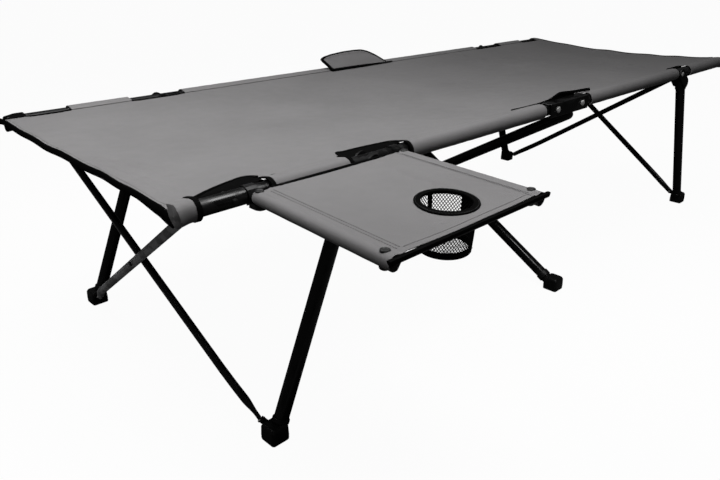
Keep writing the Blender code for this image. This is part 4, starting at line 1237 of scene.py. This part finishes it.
    def hems(self) -> None:
        """The black hem over each end of the deck, and its row of stitches."""
        styles = ((End.LEFT, self.left_end, 0.0042, 0.0058), (End.RIGHT, self.right_end, 0.0010, 0.0036))
        for end, line, drop, wide in styles:
            sign = end.value
            body = f"{end.label}_near_rail"
            path, row = [], []
            for step in range(73):
                y = self.near_seam + (self.far_seam - self.near_seam) * step / 72
                x = follow(line, y)
                path.append(Vector((x + sign * 0.0012, y, self.height(x, y) - drop)))
                row.append(Vector((x - sign * 0.0060, y, self.height(x - sign * 0.006, y) + 0.0001)))
            start = path[0] + Vector((0.0, -0.0085, -0.0050))
            turned = [path[-1] + Vector((sign * 0.001, 0.020, -0.0010)),
                      path[-1] + Vector((-sign * 0.002, 0.036, -0.0070))]
            lean = Vector((-0.25 * sign, 0, 1))
            self.strip(f"{end.label}_hem", [start, *path, *turned], wide, 0.0016, body, lean)
            if end is End.LEFT:
                self.strip("left_hem_drape", self.corner_drape(), 0.0056, 0.0016, body, lean)
            self.fold_in(stitches(f"{end.label}_hem_stitches", [row], body))

    def corner_drape(self) -> list[Vector]:
        """The line of the slack that hangs below the left hem at the near corner."""
        drape = []
        for step in range(15):
            along = step / 14
            y = self.near_seam - 0.0070 + 0.0950 * along
            slack = 0.0042 + 0.0125 * (1.0 - along) ** 1.3
            top = self.height(self.span[0], max(y, self.near_seam))
            drape.append(Vector((follow(self.left_end, y) - 0.0012, y, top - slack)))
        return drape

    def facing(self, name: str, side: Side, low: float, high: float, stop: float, body: str) -> None:
        """The black binding that fills the inner edge of a cut-out.

        Args:
            name: Its name.
            side: The cut-out's side.
            low: Its lower end along the cot.
            high: Its upper end.
            stop: How near it comes to the rail.
            body: The body it rides on.
        """

        def place(u: float, v: float) -> Vector:
            """The binding's point."""
            x = low + (high - low) * u
            start = self.edge(side, x) - side.value * 0.0030
            y = start + (stop - start) * v
            dip = 0.0062 * smooth_step((v - 0.55) / 0.45)
            return Vector((x, y, self.height(x, start) + 0.0010 * (1.0 - v) - dip))

        shell = cloth_grid(max(12, round((high - low) / 0.004)), 10, place, (high - low, 0.03))
        if side is Side.NEAR:
            bmesh.ops.reverse_faces(shell, faces=shell.faces)
        piece = publish(wall(shell, 0.0012), name, BINDING_BLACK, body, (), 60.0)
        self.fold_in(piece)
        self.pieces.append((piece, None))

    def bindings(self) -> None:
        """Facings in the cut-outs, and a piping along each one's edge."""
        spans = {
            (End.LEFT, Side.NEAR): [(-0.952, -0.830, -0.2022), (-0.680, -0.535, -0.2022)],
            (End.RIGHT, Side.NEAR): [(0.607, 0.697, -0.2010)],
            (End.LEFT, Side.FAR): [(-0.929, -0.841, 0.4460), (-0.706, -0.576, 0.4460)],
            (End.RIGHT, Side.FAR): [(0.561, 0.702, 0.4460), (0.842, 0.939, 0.4460)],
        }
        for (end, side), rows in spans.items():
            for index, (low, high, stop) in enumerate(rows):
                name = f"{end.label}_{side.label}_cutout_{index + 1}"
                body = f"{end.label}_near_rail"
                self.facing(f"{name}_facing", side, low, high, stop, body)
                steps = round((high - low) / 0.004)
                path = []
                for step in range(steps + 1):
                    x = low + (high - low) * step / steps
                    y = self.edge(side, x)
                    path.append(Vector((x, y, self.height(x, y) + 0.0006)))
                self.strip(f"{name}_piping", path, 0.0026, 0.0014, body, ACROSS, 0.1)

    def seams(self) -> None:
        """A row of stitches beside each side's sleeves, and the bar tacks beside the near left cut-outs."""
        for end in End:
            for side in Side:
                name = f"{end.label}_{side.label}"
                stitches(f"{name}_seam_stitches", self.seam_runs(end, side), f"{name}_rail")
        for index, x in enumerate((-0.9555, -0.8065)):
            tack = []
            for step in range(7):
                z = RAIL_HEIGHT + 0.0113 - 0.0002 * step
                tack.append(Vector((x + (0.0035 if step % 2 else -0.0035), -0.1975 + 0.0016 * step, z)))
            stitches(f"bar_tack_{index + 1}", [tack], "left_near_rail", 0.0030, 0.0030, 0.0005, THREAD_BLACK)

    def seam_runs(self, end: End, side: Side) -> list[list[Vector]]:
        """The stretches of a side's stitched seam between its cut-outs.

        Args:
            end: The seam's end.
            side: Its side.

        Returns:
            Each stretch's points.
        """
        inset = 0.0168 if side is Side.NEAR else 0.0130
        plain_y = (self.near_edge if side is Side.NEAR else self.far_edge)[0][1]
        crest_inset, crest = 0.0039, 0.01425
        share = (inset - crest_inset) / (self.seam_inset - crest_inset)
        z = RAIL_HEIGHT + crest + (self.seam_height - RAIL_HEIGHT - crest) * share
        runs: list[list[Vector]] = [[]]
        for step in range(221):
            x = end.value * (0.102 + 0.860 * step / 220)
            if abs(self.edge(side, x) - plain_y) > 0.0004:
                runs.append([])
            else:
                runs[-1].append(Vector((x, side.rail_y - side.value * inset, z)))
        return [run for run in runs if len(run) > 1]


@dataclass
class EdgeFlaps:
    """The cloth flap that stands on the far bracket, and the bound lip over the near one."""

    ends: tuple[float, float] = (-0.138, 0.100)
    root: tuple[float, float] = (-0.112, 0.103)
    foot: tuple[float, float] = (0.4345, 0.4562)
    lean: float = 0.62
    tall: float = 0.047
    crest: tuple = ((-0.138, 0.4840), (-0.128, 0.4890), (-0.100, 0.4930), (-0.060, 0.4953), (-0.015, 0.4962),
                    (0.019, 0.4952), (0.045, 0.4890), (0.070, 0.4775), (0.088, 0.4665), (0.100, 0.4590))

    def build(self) -> None:
        """Builds the flap, its piping and the lip."""
        self.far_flap()
        self.near_lip()

    def face(self, u: float, v: float) -> Vector:
        """A point of the flap's cloth."""
        top_x = self.ends[0] + (self.ends[1] - self.ends[0]) * u
        foot_x = self.root[0] + (self.root[1] - self.root[0]) * u
        crest = sum(follow(self.crest, top_x + shift) for shift in (-0.006, 0.0, 0.006)) / 3.0
        z = self.foot[1] + (crest - self.foot[1]) * v
        bow = 0.0018 * math.sin(u * math.pi) * v + 0.0008 * noise.noise(Vector((top_x * 30.0, v * 3.0, 1.0)))
        y = self.foot[0] + self.lean * (z - self.foot[1])
        return Vector((foot_x + (top_x - foot_x) * v, y - bow * 0.8, z + bow * 0.6))

    def far_flap(self) -> None:
        """The grey flap with a black piping round it."""
        wide = self.ends[1] - self.ends[0]
        shell = wall(cloth_grid(48, 12, self.face, (wide, self.tall)), 0.0011)
        flap = publish(shell, "far_flap_cloth", DECK_GREY, "far_bracket", ["far_edge_flap"], 60.0)
        edge = [self.face(0.0, v / 6) for v in range(6)]
        edge += [self.face(step / 60, 1.0) for step in range(61)]
        edge += [self.face(1.0, 1.0 - v / 6) for v in range(1, 7)]
        frames = []
        for index, spot in enumerate(edge):
            thick = 0.0019 + 0.0021 * smooth_step((12 - index) / 8)
            frames.append(frame_at(spot, course(edge, index), ACROSS, thick, thick))
        piping = publish(sweep(frames, 12), "far_flap_piping", BINDING_BLACK, "far_bracket", (), 60.0)
        start = Vector((self.root[0] - 0.006, self.foot[0] - 0.0012, self.foot[1] + 0.0004))
        frames = []
        for index, spot in enumerate(straight(start, start + ALONG * 0.245, 20)):
            share = 1.0 - 0.55 * smooth_step((index - 8) / 10)
            frames.append(frame_at(spot, ALONG, ACROSS, 0.0056 * share, 0.0032 * share))
        welt = publish(sweep(frames, 12), "far_flap_welt", BINDING_BLACK, "far_bracket", (), 60.0)
        row = [self.face(0.05 + 0.80 * step / 40, 0.86) + Vector((0, -0.0002, 0.0002)) for step in range(41)]
        going = [piping, welt, stitches("far_flap_stitches", [row], "far_bracket")]

    def near_lip(self) -> None:
        """A black bound edge that rises over the near bracket, in three parts that fold with the rails."""
        line = ((-0.182, -0.1915, 0.4562), (-0.117, -0.1960, 0.4566), (-0.070, -0.2000, 0.4585),
                (-0.044, -0.2035, 0.4625), (-0.014, -0.2050, 0.4700), (0.022, -0.2050, 0.4680),
                (0.058, -0.2045, 0.4655), (0.095, -0.2040, 0.4640), (0.128, -0.2030, 0.4615))
        path = curve_through([Vector(point) for point in line], 8)
        bodies = (("left_near_rail", -1.0, -HINGE_X), ("near_bracket", -HINGE_X, HINGE_X),
                  ("right_near_rail", HINGE_X, 1.0))
        for body, low, high in bodies:
            run = [point for point in path if low <= point.x <= high]
            frames = []
            for index, point in enumerate(run):
                size = 0.0011 + 0.0017 * smooth_step((point.x + 0.10) / 0.10)
                frames.append(frame_at(point, course(run, index), UP, size * 1.25, size))
            publish(sweep(frames, 14), f"near_lip_{body}", BINDING_BLACK, body, (), 60.0)
        self.lip_cloth([(point.x, point.z) for point in path])

    @staticmethod
    def lip_cloth(crest: Sequence[tuple[float, float]]) -> None:
        """The black cloth between the near bracket's top and the lip's bound edge.

        Args:
            crest: The bound edge, as places along the cot with their heights.
        """
        half, foot = 0.052, 0.4592

        def place(u: float, v: float) -> Vector:
            """The cloth's point."""
            x = half * (2.0 * u - 1.0)
            top = max(follow(crest, x) - 0.001, foot + 0.0006)
            return Vector((x, -0.2065 + 0.0015 * v, foot + (top - foot) * v))

        shell = wall(cloth_grid(26, 4, place, (2 * half, 0.012)), 0.001)
        publish(shell, "near_lip_cloth", BINDING_BLACK, "near_bracket", (), 60.0)


@dataclass
class SideTable:
    """The swing-out table: tubes, sleeves, cloth panel, edge bar and trims."""

    pivots: tuple[float, float] = (-0.868, -0.570)
    pivot_y: float = -0.239
    tube_z: float = 0.4445
    tube_radius: float = 0.008
    reach: tuple[float, float] = (-0.018, -0.254)
    top: float = 0.4546
    inner_y: float = -0.2385
    outer_y: float = -0.5100
    sleeve_in: float = 0.0215
    keep: float = 0.26
    anchor_y: float = CUP_CENTRE[1]
    hole_radius: float = 0.0445

    def build(self) -> None:
        """Builds the table's pieces."""
        self.tubes()
        cloth = self.panel()
        trims = self.trims()
        sleeves = [self.sleeve("left", 0, -1.0), self.sleeve("right", 1, 1.0)]

    def axis_x(self, index: int, y: float) -> float:
        """Where a tube's axis is at a place across the cot."""
        return self.pivots[index] + (y - self.pivot_y) * self.reach[0] / self.reach[1]

    def tubes(self) -> None:
        """The two side tubes and the outer bar."""
        for index, label in enumerate(("left", "right")):
            start = Vector((self.pivots[index], self.pivot_y, self.tube_z))
            stop = start + Vector((*self.reach, 0.0))
            frames = rod_frames(straight(start, stop, 6), UP, self.tube_radius, self.tube_radius)
            name = f"table_{label}_tube"
            publish(sweep(frames, 24), f"{name}_steel", TUBE_PAINT, name, [name])
            self.rivet(f"table_{label}_pivot_pin_head", start, name, "")
            self.rivet(f"table_{label}_rivet_head", stop, name, f"table_{label}_rivet")
        bar = straight(Vector((-0.8975, -0.5118, 0.4482)), Vector((-0.5765, -0.5118, 0.4482)), 12)
        shell = sweep(rod_frames(bar, UP, 0.0032, 0.0026, False), 16, 0.8)
        for x in (-0.886, -0.588):
            foot = [Vector((x, -0.486, self.tube_z)), Vector((x, -0.506, self.tube_z + 0.001)),
                    Vector((x, -0.5115, 0.4475))]
            shell = joined(shell, sweep(rod_frames(foot, ALONG, 0.0058, 0.0014, False), 12, 0.8))
        soften(publish(shell, "table_bar_steel", TUBE_PAINT, "table_edge_bar", ["table_edge_bar"]), 0.0006)

    def rivet(self, name: str, spot: Vector, body: str, node: str) -> None:
        """A dished rivet head over a tube's end, with a raised rim, and a domed head under an outer one.

        Args:
            name: The piece's name.
            spot: The tube's axis below it.
            body: The body it rides on.
            node: The CAD node that it stands for, or nothing.
        """
        top = self.top + 0.0012
        profile = ((0.0064, -0.0022), (0.0064, -0.0004), (0.0054, 0.0006), (0.0042, 0.0002),
                   (0.0036, -0.0004), (0.0018, -0.0002), (0.0002, 0.0))
        frames = [Matrix.Translation(Vector((spot.x, spot.y, top + z))) @ Matrix.Diagonal((r, r, 1.0, 1.0))
                  for r, z in profile]
        if node:
            low = self.tube_z - 0.0104
            dome = [Matrix.Translation(Vector((spot.x, spot.y, low - 0.0042 * math.sin(step * math.pi / 10))))
                    @ Matrix.Diagonal((max(0.0002, 0.0070 * math.cos(step * math.pi / 10)),) * 2 + (1.0, 1.0))
                    for step in range(6)]
            frames = dome[::-1] + frames
        soften(publish(sweep(frames, 20), name, DARK_RIVET, body, [node] if node else ()), 0.0003)

    def panel_height(self, x: float, y: float) -> float:
        """The cloth's upper face, with its slight sag and creases."""
        t = (x - (self.axis_x(0, y) + self.axis_x(1, y)) / 2) / 0.130
        s = (y - (self.inner_y + self.outer_y) / 2) / 0.1325
        sag = 0.0032 * max(0.0, 1.0 - t * t) * (1.0 - 0.5 * s * s)
        beside = math.exp(-((abs(t) - 0.90) / 0.10) ** 2)
        crease = 0.0009 * noise.noise(Vector((x * 13.0, y * 9.0, 4.0)))
        pulls = 0.0008 * beside * math.sin((x + 0.6 * y) * 2 * math.pi / 0.021)
        furrow = 0.0026 * math.exp(-((t - 0.66) / 0.10) ** 2) * math.exp(-((s - 0.2) / 0.65) ** 2)
        furrow -= 0.0010 * math.exp(-((t - 0.47) / 0.09) ** 2) * math.exp(-((s - 0.1) / 0.6) ** 2)
        return self.top - furrow - sag + crease * (1.0 - abs(t) ** 3) + pulls * (1.0 - t * t)

    def panel(self) -> Piece:
        """The cloth between the sleeves, with the cup's hole."""
        centre, radius = Vector(CUP_CENTRE), self.hole_radius

        def place(u: float, v: float) -> Vector:
            """The cloth's point."""
            y = self.outer_y + (self.inner_y - self.outer_y) * v
            left = self.axis_x(0, y) + self.sleeve_in
            right = self.axis_x(1, y) - self.sleeve_in
            x = left + (right - left) * u
            return Vector((x, y, self.panel_height(x, y)))

        shell = cloth_grid(60, 60, place, (0.257, 0.2715))
        flat = Matrix.Translation(-centre.to_3d())
        bmesh.ops.transform(shell, matrix=CUP_OVAL.inverted() @ flat, verts=shell.verts)
        away = [vert for vert in shell.verts if vert.co.to_2d().length < radius * 0.93]
        bmesh.ops.delete(shell, geom=away, context="VERTS")
        ring = {vert for edge in shell.edges if edge.is_boundary for vert in edge.verts
                if vert.co.to_2d().length < radius * 1.4}
        for vert in ring:
            out = vert.co.to_2d().normalized() * radius
            vert.co.x, vert.co.y = out.x, out.y
        bmesh.ops.transform(shell, matrix=flat.inverted() @ CUP_OVAL, verts=shell.verts)
        piece = publish(wall(shell, 0.0011), "table_panel", DECK_GREY, "cup_holder", ["table_cloth"], 60.0)
        self.close_up(piece)
        return piece

    def close_up(self, piece: Piece) -> None:
        """Gives a piece its own copy of its mesh."""
        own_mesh(piece)

    def sleeve(self, label: str, index: int, outward: float) -> Piece:
        """The cloth sleeve over a side tube, rounded off at both ends.

        Args:
            label: left or right.
            index: Which tube.
            outward: The sign of its outer side.

        Returns:
            The piece.
        """
        radius = 0.0104
        flat, around, turn = 0.30, 0.56, math.pi * 1.12

        def place(u: float, v: float) -> Vector:
            """The cloth's point."""
            y = self.outer_y + (self.pivot_y + 0.0115 - self.outer_y) * v
            close = min(1.0, max(0.0, (y - (self.pivot_y + 0.0005)) / 0.011))
            narrow = math.sqrt(max(0.0025, 1.0 - close * close))
            centre = self.axis_x(index, y)
            pucker = 1.0 + 0.025 * noise.noise(Vector((y * 70.0, u * 5.0, index * 7.0)))
            if u < flat:
                t = u / flat
                a = self.sleeve_in * (1.0 - t)
                b = self.top - self.tube_z + 0.0003 - 0.0016 * math.sin(t * math.pi) ** 2
            elif u < flat + around:
                angle = math.pi / 2 + (u - flat) / around * turn
                a, b = radius * math.cos(angle) * 1.08, radius * math.sin(angle)
                b *= pucker
            else:
                t = (u - flat - around) / (1.0 - flat - around)
                angle = math.pi / 2 + turn
                first = Vector((radius * math.cos(angle) * 1.08, radius * math.sin(angle)))
                a, b = first.lerp(Vector((self.sleeve_in * 0.7, 0.0060)), t)
            if close > 0.0:
                a *= narrow if a < 0 else 1.0
                b = b * (0.45 + 0.55 * narrow)
            return Vector((centre - outward * a, y, self.tube_z + b))

        shell = cloth_grid(34, 48, place, (0.075, 0.283))
        if outward < 0:
            bmesh.ops.reverse_faces(shell, faces=shell.faces)
        body = f"table_{label}_tube"
        return publish(wall(shell, 0.0009), f"table_{label}_sleeve", DECK_GREY, body, (), 60.0)

    def trims(self) -> list[Piece]:
        """The black trims on the outer and inner edges, and the rows of stitches. The inner trim is a real
        binding, sized also as painted shade in the gap between the deck's sleeve and the table.
        """
        outer = straight(Vector((-0.9000, -0.5124, 0.4502)), Vector((-0.5750, -0.5124, 0.4502)), 20)
        frames = []
        for index, spot in enumerate(outer):
            flare = max(0.0, 1.0 - min(index, 20 - index) / 3.0)
            lean = Vector((1.0, 0.0, 0.45 * flare if index < 10 else -0.45 * flare))
            frames.append(frame_at(spot - UP * (0.001 * flare), lean, UP, 0.0026 + 0.0014 * flare, 0.0034))
        trim = publish(sweep(frames, 16, 0.5), "table_outer_trim", BINDING_BLACK, "table_edge_bar", (), 45.0)
        # Inner black binding, made large enough to serve also as painted shade in the gap below the deck's
        # sleeve.
        y = self.inner_y + 0.0038
        frames = rod_frames(straight(Vector((-0.855, y, 0.4526)), Vector((-0.581, y, 0.4526)), 20), UP,
                            0.0031, 0.0026)
        edge = publish(sweep(frames, 12, 0.3), "table_inner_trim", BINDING_BLACK, "cup_holder", (), 60.0)
        self.close_up(edge)
        made = [trim, edge]
        for index, (label, sign) in enumerate((("left", 1.0), ("right", -1.0))):
            runs = []
            for inset in (0.0140, 0.0185):
                z = self.top + 0.0004 - 0.0016 * math.sin((1.0 - inset / self.sleeve_in) * math.pi) ** 2
                ys = [-0.2465 - 0.2535 * step / 40 for step in range(41)]
                runs.append([Vector((self.axis_x(index, y) + sign * inset, y, z)) for y in ys])
            made.append(stitches(f"table_{label}_stitches", runs, f"table_{label}_tube", thread=THREAD_BLACK))
        y = self.outer_y + 0.0095
        xs = [self.axis_x(0, y) + 0.022 + 0.252 * step / 30 for step in range(31)]
        hem = [Vector((x, y, self.panel_height(x, y) + 0.0003)) for x in xs]
        row = stitches("table_hem_stitches", [hem], "cup_holder")
        self.close_up(row)
        return [*made, row]


CUP_TURN = Matrix.Rotation(math.radians(-45.0), 4, "Z")
CUP_OVAL = CUP_TURN @ Matrix.Diagonal((0.87, 1.0, 1.0, 1.0)) @ CUP_TURN.inverted()


def joined(shell: Shape, other: Shape) -> Shape:
    """Adds one shape to another and frees the second."""
    mesh = bpy.data.meshes.new("part")
    other.to_mesh(mesh)
    other.free()
    shell.from_mesh(mesh)
    bpy.data.meshes.remove(mesh)
    return shell


@dataclass
class CupPocket:
    """The bound hole in the table and the net pocket that hangs from it."""

    centre: tuple[float, float] = CUP_CENTRE
    top: float = 0.4548
    rim: tuple[float, float] = (0.0405, 0.0515)
    mouth: float = 0.0462
    foot: float = 0.0415
    depth: float = 0.0680
    band: float = 0.0070
    hem: float = 0.0100
    cells: int = 54
    cord: float = 0.00125
    keep: float = 0.26

    def build(self) -> None:
        """Builds the hole's binding and the pocket."""
        self.binding()
        self.bands()
        self.net()
        self.floor()

    def radius(self, down: float) -> float:
        """The pocket's radius at a depth."""
        t = down / self.depth
        return self.mouth + (self.foot - self.mouth) * t ** 1.6

    def wall_point(self, down: float, angle: float, out: float = 0.0) -> Vector:
        """A point of the pocket's wall, at a depth and an angle, or a little outside it."""
        radius = self.radius(down) + out
        return Vector((self.centre[0] + radius * math.cos(angle),
                       self.centre[1] + radius * math.sin(angle), self.top - down))

    def net_span(self) -> tuple[float, float]:
        """The depths between which the wall is net, tucked under both bands."""
        return self.band - 0.001, self.depth - self.hem + 0.001

    def ring(self, radius: float, z: float, high: float, thick: float, name: str) -> Piece:
        """A black band round the pocket.

        Args:
            radius: Its radius.
            z: Its middle height.
            high: Half of its height.
            thick: Half of its thickness.
            name: The piece's name.

        Returns:
            The piece.
        """
        shell = bmesh.new()
        shell.loops.layers.uv.new(CLOTH_LAYER)
        middle = Vector((*self.centre, z))
        made = bmesh.ops.create_circle(shell, cap_ends=False, segments=14, radius=1.0)["verts"]
        squared(made, 0.45)
        frame = frame_at(middle + ALONG * radius, ACROSS, UP, high, thick)
        bmesh.ops.transform(shell, matrix=frame, verts=made)
        bmesh.ops.spin(shell, geom=[*shell.verts, *shell.edges], cent=middle, axis=(0, 0, 1),
                       angle=2 * math.pi, steps=72, use_merge=True)
        bmesh.ops.remove_doubles(shell, verts=shell.verts, dist=1e-6)
        bmesh.ops.recalc_face_normals(shell, faces=shell.faces)
        return publish(self.oval(shell), name, BINDING_BLACK, "cup_holder", (), 60.0)

    def oval(self, shell: Shape) -> Shape:
        """Draws a round shape in to the pocket's oval."""
        away = Matrix.Translation(Vector((*self.centre, 0.0)))
        bmesh.ops.transform(shell, matrix=away @ CUP_OVAL @ away.inverted(), verts=shell.verts)
        return shell

    def squashed(self, piece: Piece) -> None:
        """Gives a piece its own copy of its mesh."""
        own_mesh(piece)

    def binding(self) -> None:
        """The black tape round the hole, with its stitches."""
        inner, outer = self.rim
        tape = self.ring((inner + outer) / 2, self.top - 0.0012, 0.0013, (outer - inner) / 2, "cup_hole_tape")
        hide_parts("cup_hole_ring")
        self.squashed(tape)
        self.squashed(self.ring(inner + 0.0012, self.top - 0.0014, 0.0019, 0.0014, "cup_hole_welt"))
        run = []
        for step in range(97):
            angle = 2 * math.pi * step / 96
            flat = Vector((math.cos(angle), math.sin(angle), 0.0)) * (outer - 0.0028)
            run.append(CUP_OVAL @ flat + Vector((*self.centre, self.top)))
        thread = stitches("cup_hole_stitches", [run], "cup_holder", 0.0042, 0.0028, 0.0004, THREAD_BLACK)
        self.squashed(thread)

    def stretch(self, name: str, low: float, high: float, start: float, stop: float) -> None:
        """A stretch of plain cloth in the pocket's wall.

        Args:
            name: The piece's name.
            low: Its upper edge, as a depth.
            high: Its lower edge, as a depth.
            start: Where it starts round the pocket, in degrees.
            stop: Where it stops.
        """

        def place(u: float, v: float) -> Vector:
            """The cloth's point."""
            down = low + (high - low) * v
            return self.wall_point(down, math.radians(start + (stop - start) * u), 0.0005)

        columns = max(6, round((stop - start) / 5.0))
        shell = cloth_grid(columns, 8, place, (math.radians(stop - start) * self.mouth, high - low))
        if stop - start >= 359.9:
            bmesh.ops.remove_doubles(shell, verts=shell.verts, dist=1e-5)
        shell = self.oval(wall(shell, 0.0010))
        self.squashed(publish(shell, name, BINDING_BLACK, "cup_holder", (), 60.0))

    def bands(self) -> None:
        """The pocket's upper band, lower band and three upright stretches of cloth."""
        self.stretch("pocket_upper_band", 0.0010, self.band, 0.0, 360.0)
        self.stretch("pocket_lower_band", self.depth - self.hem, self.depth, 0.0, 360.0)
        for index, (start, stop) in enumerate(((66.0, 76.0), (-62.0, 6.0), (163.0, 171.0))):
            self.stretch(f"pocket_seam_{index + 1}", *self.net_span(), start, stop)

    def net(self) -> None:
        """The wall's diamond net between the bands."""
        rows = round((self.depth - self.hem - self.band) / (2 * math.pi * self.mouth / self.cells))
        low, high = self.net_span()

        def place(u: float, v: float) -> Vector:
            """The net's point."""
            down = low + (high - low) * v
            return self.wall_point(down, 2 * math.pi * u)

        shell = cloth_grid(self.cells, rows, place, (0.29, high - low))
        self.knot(shell, 1e-5, self.cord)
        net = publish(self.oval(shell), "pocket_wall_net", NET_BLACK, "cup_holder", ["cup_mesh_pocket"], 60.0)
        self.squashed(net)

    def knot(self, shell: Shape, weld: float, cord: float) -> None:
        """Turns a sheet of squares into a net of diamonds.

        Args:
            shell: The sheet.
            weld: How near doubles are merged.
            cord: The cord's thickness.
        """
        bmesh.ops.remove_doubles(shell, verts=shell.verts, dist=weld)
        squares = [edge for edge in shell.edges if not edge.is_boundary]
        bmesh.ops.poke(shell, faces=shell.faces)
        bmesh.ops.dissolve_edges(shell, edges=squares, use_verts=False)
        bmesh.ops.wireframe(shell, faces=shell.faces, thickness=cord, offset=0.5, use_replace=True,
                            use_boundary=True, use_even_offset=True)

    def floor(self) -> None:
        """The pocket's bound floor, of the same net."""
        reach = self.foot - 0.0006

        def place(u: float, v: float) -> Vector:
            """The net's point."""
            x, y = (u - 0.5) * 2 * reach, (v - 0.5) * 2 * reach
            return Vector((self.centre[0] + x, self.centre[1] + y, self.top - self.depth + 0.0008))

        shell = cloth_grid(13, 13, place, (2 * reach, 2 * reach))
        middle = Vector(self.centre)
        away = [face for face in shell.faces if (face.calc_center_median().to_2d() - middle).length > reach]
        bmesh.ops.delete(shell, geom=away, context="FACES")
        self.knot(shell, 1e-6, self.cord / 2)
        self.squashed(publish(self.oval(shell), "pocket_floor_net", NET_BLACK, "cup_holder", (), 60.0))
        level = self.top - self.depth + 0.0008
        self.squashed(self.ring(self.foot - 0.0012, level, 0.0011, 0.0022, "pocket_floor_tape"))


@dataclass
class Studio:
    """A pale floor and backdrop, soft lamps and the photograph's camera."""

    azimuth: float = -44.91
    elevation: float = 23.5
    roll: float = 0.46
    eye: tuple[float, float, float] = (-1.379, -0.948, 0.758)
    focal: float = 664.1
    frame_width: float = 720.0
    sensor: float = 36.0

    def build(self) -> None:
        """Builds the whole studio."""
        bpy.context.scene.view_settings.view_transform = "Standard"
        self.floor()
        self.world()
        self.lamps()
        self.camera()

    def floor(self) -> None:
        """The floor, white to the camera apart from the object's shadow."""
        shell = bmesh.new()
        bmesh.ops.create_grid(shell, x_segments=1, y_segments=1, size=40.0)
        mesh = bpy.data.meshes.new("studio_floor")
        shell.to_mesh(mesh)
        shell.free()
        plane = bpy.data.objects.new("studio_floor", mesh)
        bpy.context.scene.collection.objects.link(plane)
        material = bpy.data.materials.new("studio_floor")
        material.use_nodes = True
        pen = NodePen(material.node_tree)
        shader = material.node_tree.nodes["Principled BSDF"]
        shader.inputs["Roughness"].default_value = 0.9
        shader.inputs["Specular IOR Level"].default_value = 0.0
        glow = pen.add("ShaderNodeEmission")
        glow.inputs["Strength"].default_value = 1.0
        rays = pen.add("ShaderNodeLightPath")
        tint = pen.blend(rays.outputs["Is Camera Ray"], (0.12, 0.12, 0.12), (0.92, 0.92, 0.92))
        pen.join(tint, shader.inputs["Base Color"])
        mix = pen.add("ShaderNodeMixShader")
        pen.join(pen.math("MULTIPLY", rays.outputs["Is Camera Ray"], 0.965), mix.inputs[0])
        pen.join(shader.outputs[0], mix.inputs[1])
        pen.join(glow.outputs[0], mix.inputs[2])
        pen.join(mix.outputs[0], material.node_tree.nodes["Material Output"].inputs[0])
        mesh.materials.append(material)

    @staticmethod
    def world() -> None:
        """White where it is seen, and a soft even light elsewhere."""
        world = bpy.data.worlds.new("studio_air")
        world.use_nodes = True
        bpy.context.scene.world = world
        pen = NodePen(world.node_tree)
        back = world.node_tree.nodes["Background"]
        rays = pen.add("ShaderNodeLightPath")
        back.inputs["Color"].default_value = (1.0, 1.0, 1.0, 1.0)
        strength = pen.add("ShaderNodeMapRange")
        pen.join(rays.outputs["Is Camera Ray"], strength.inputs["Value"])
        strength.inputs["To Min"].default_value = 0.05
        strength.inputs["To Max"].default_value = 1.0
        pen.join(strength.outputs[0], back.inputs["Strength"])

    def lamps(self) -> None:
        """A soft key over the table's side, one over the left end, and a wide one overhead."""
        self.lamp("key", (-0.42, -0.50, 1.50), (-0.38, -0.10, 0.40), 0.5, 9.0)
        self.lamp("left", (-1.10, 0.25, 1.30), (-0.85, 0.10, 0.40), 0.5, 8.0)
        self.lamp("top", (-0.1, 0.1, 3.2), (0.0, 0.1, 0.4), 1.6, 22.0)

    @staticmethod
    def lamp(name: str, place: tuple, aim: tuple, size: float, power: float) -> None:
        """A square area lamp.

        Args:
            name: Its name.
            place: Where it is.
            aim: What it points at.
            size: Its side in metres.
            power: Its power in watts.
        """
        light = bpy.data.lights.new(name, "AREA")
        light.size = size
        light.energy = power
        lamp = bpy.data.objects.new(name, light)
        lamp.location = place
        lamp.rotation_euler = (Vector(aim) - Vector(place)).to_track_quat("-Z", "Y").to_euler()
        bpy.context.scene.collection.objects.link(lamp)

    def camera(self) -> None:
        """The camera at the photograph's place."""
        data = bpy.data.cameras.new("camera")
        data.sensor_width = self.sensor
        data.lens = self.focal / self.frame_width * self.sensor
        data.clip_end = 200.0
        camera = bpy.data.objects.new("camera", data)
        az, el, roll = (math.radians(value) for value in (self.azimuth, self.elevation, self.roll))
        look = Vector((-math.sin(az) * math.cos(el), math.cos(az) * math.cos(el), -math.sin(el)))
        right = Vector((math.cos(az), math.sin(az), 0.0))
        up = right.cross(look)
        across = math.cos(roll) * right + math.sin(roll) * up
        upward = math.cos(roll) * up - math.sin(roll) * right
        turn = Matrix((across, upward, -look)).transposed().to_4x4()
        camera.matrix_world = Matrix.Translation(Vector(self.eye)) @ turn
        bpy.context.scene.collection.objects.link(camera)
        bpy.context.scene.camera = camera


def main() -> None:
    """Builds the studio and each sub-assembly round the CAD frame."""
    logging.basicConfig(level=logging.INFO, format="%(message)s")
    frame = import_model()
    Studio().build()
    Tubes().build()
    Boots().build()
    deck = DeckCloth()
    deck.build()
    EdgeFlaps().build()
    SideTable().build()
    CupPocket().build()
    Fittings(frame["nodes"]).build()
    panels = [(piece, flat) for piece, flat in deck.pieces if flat]
    loose = [piece for piece, flat in deck.pieces if not flat]


if __name__ == "__main__":
    main()
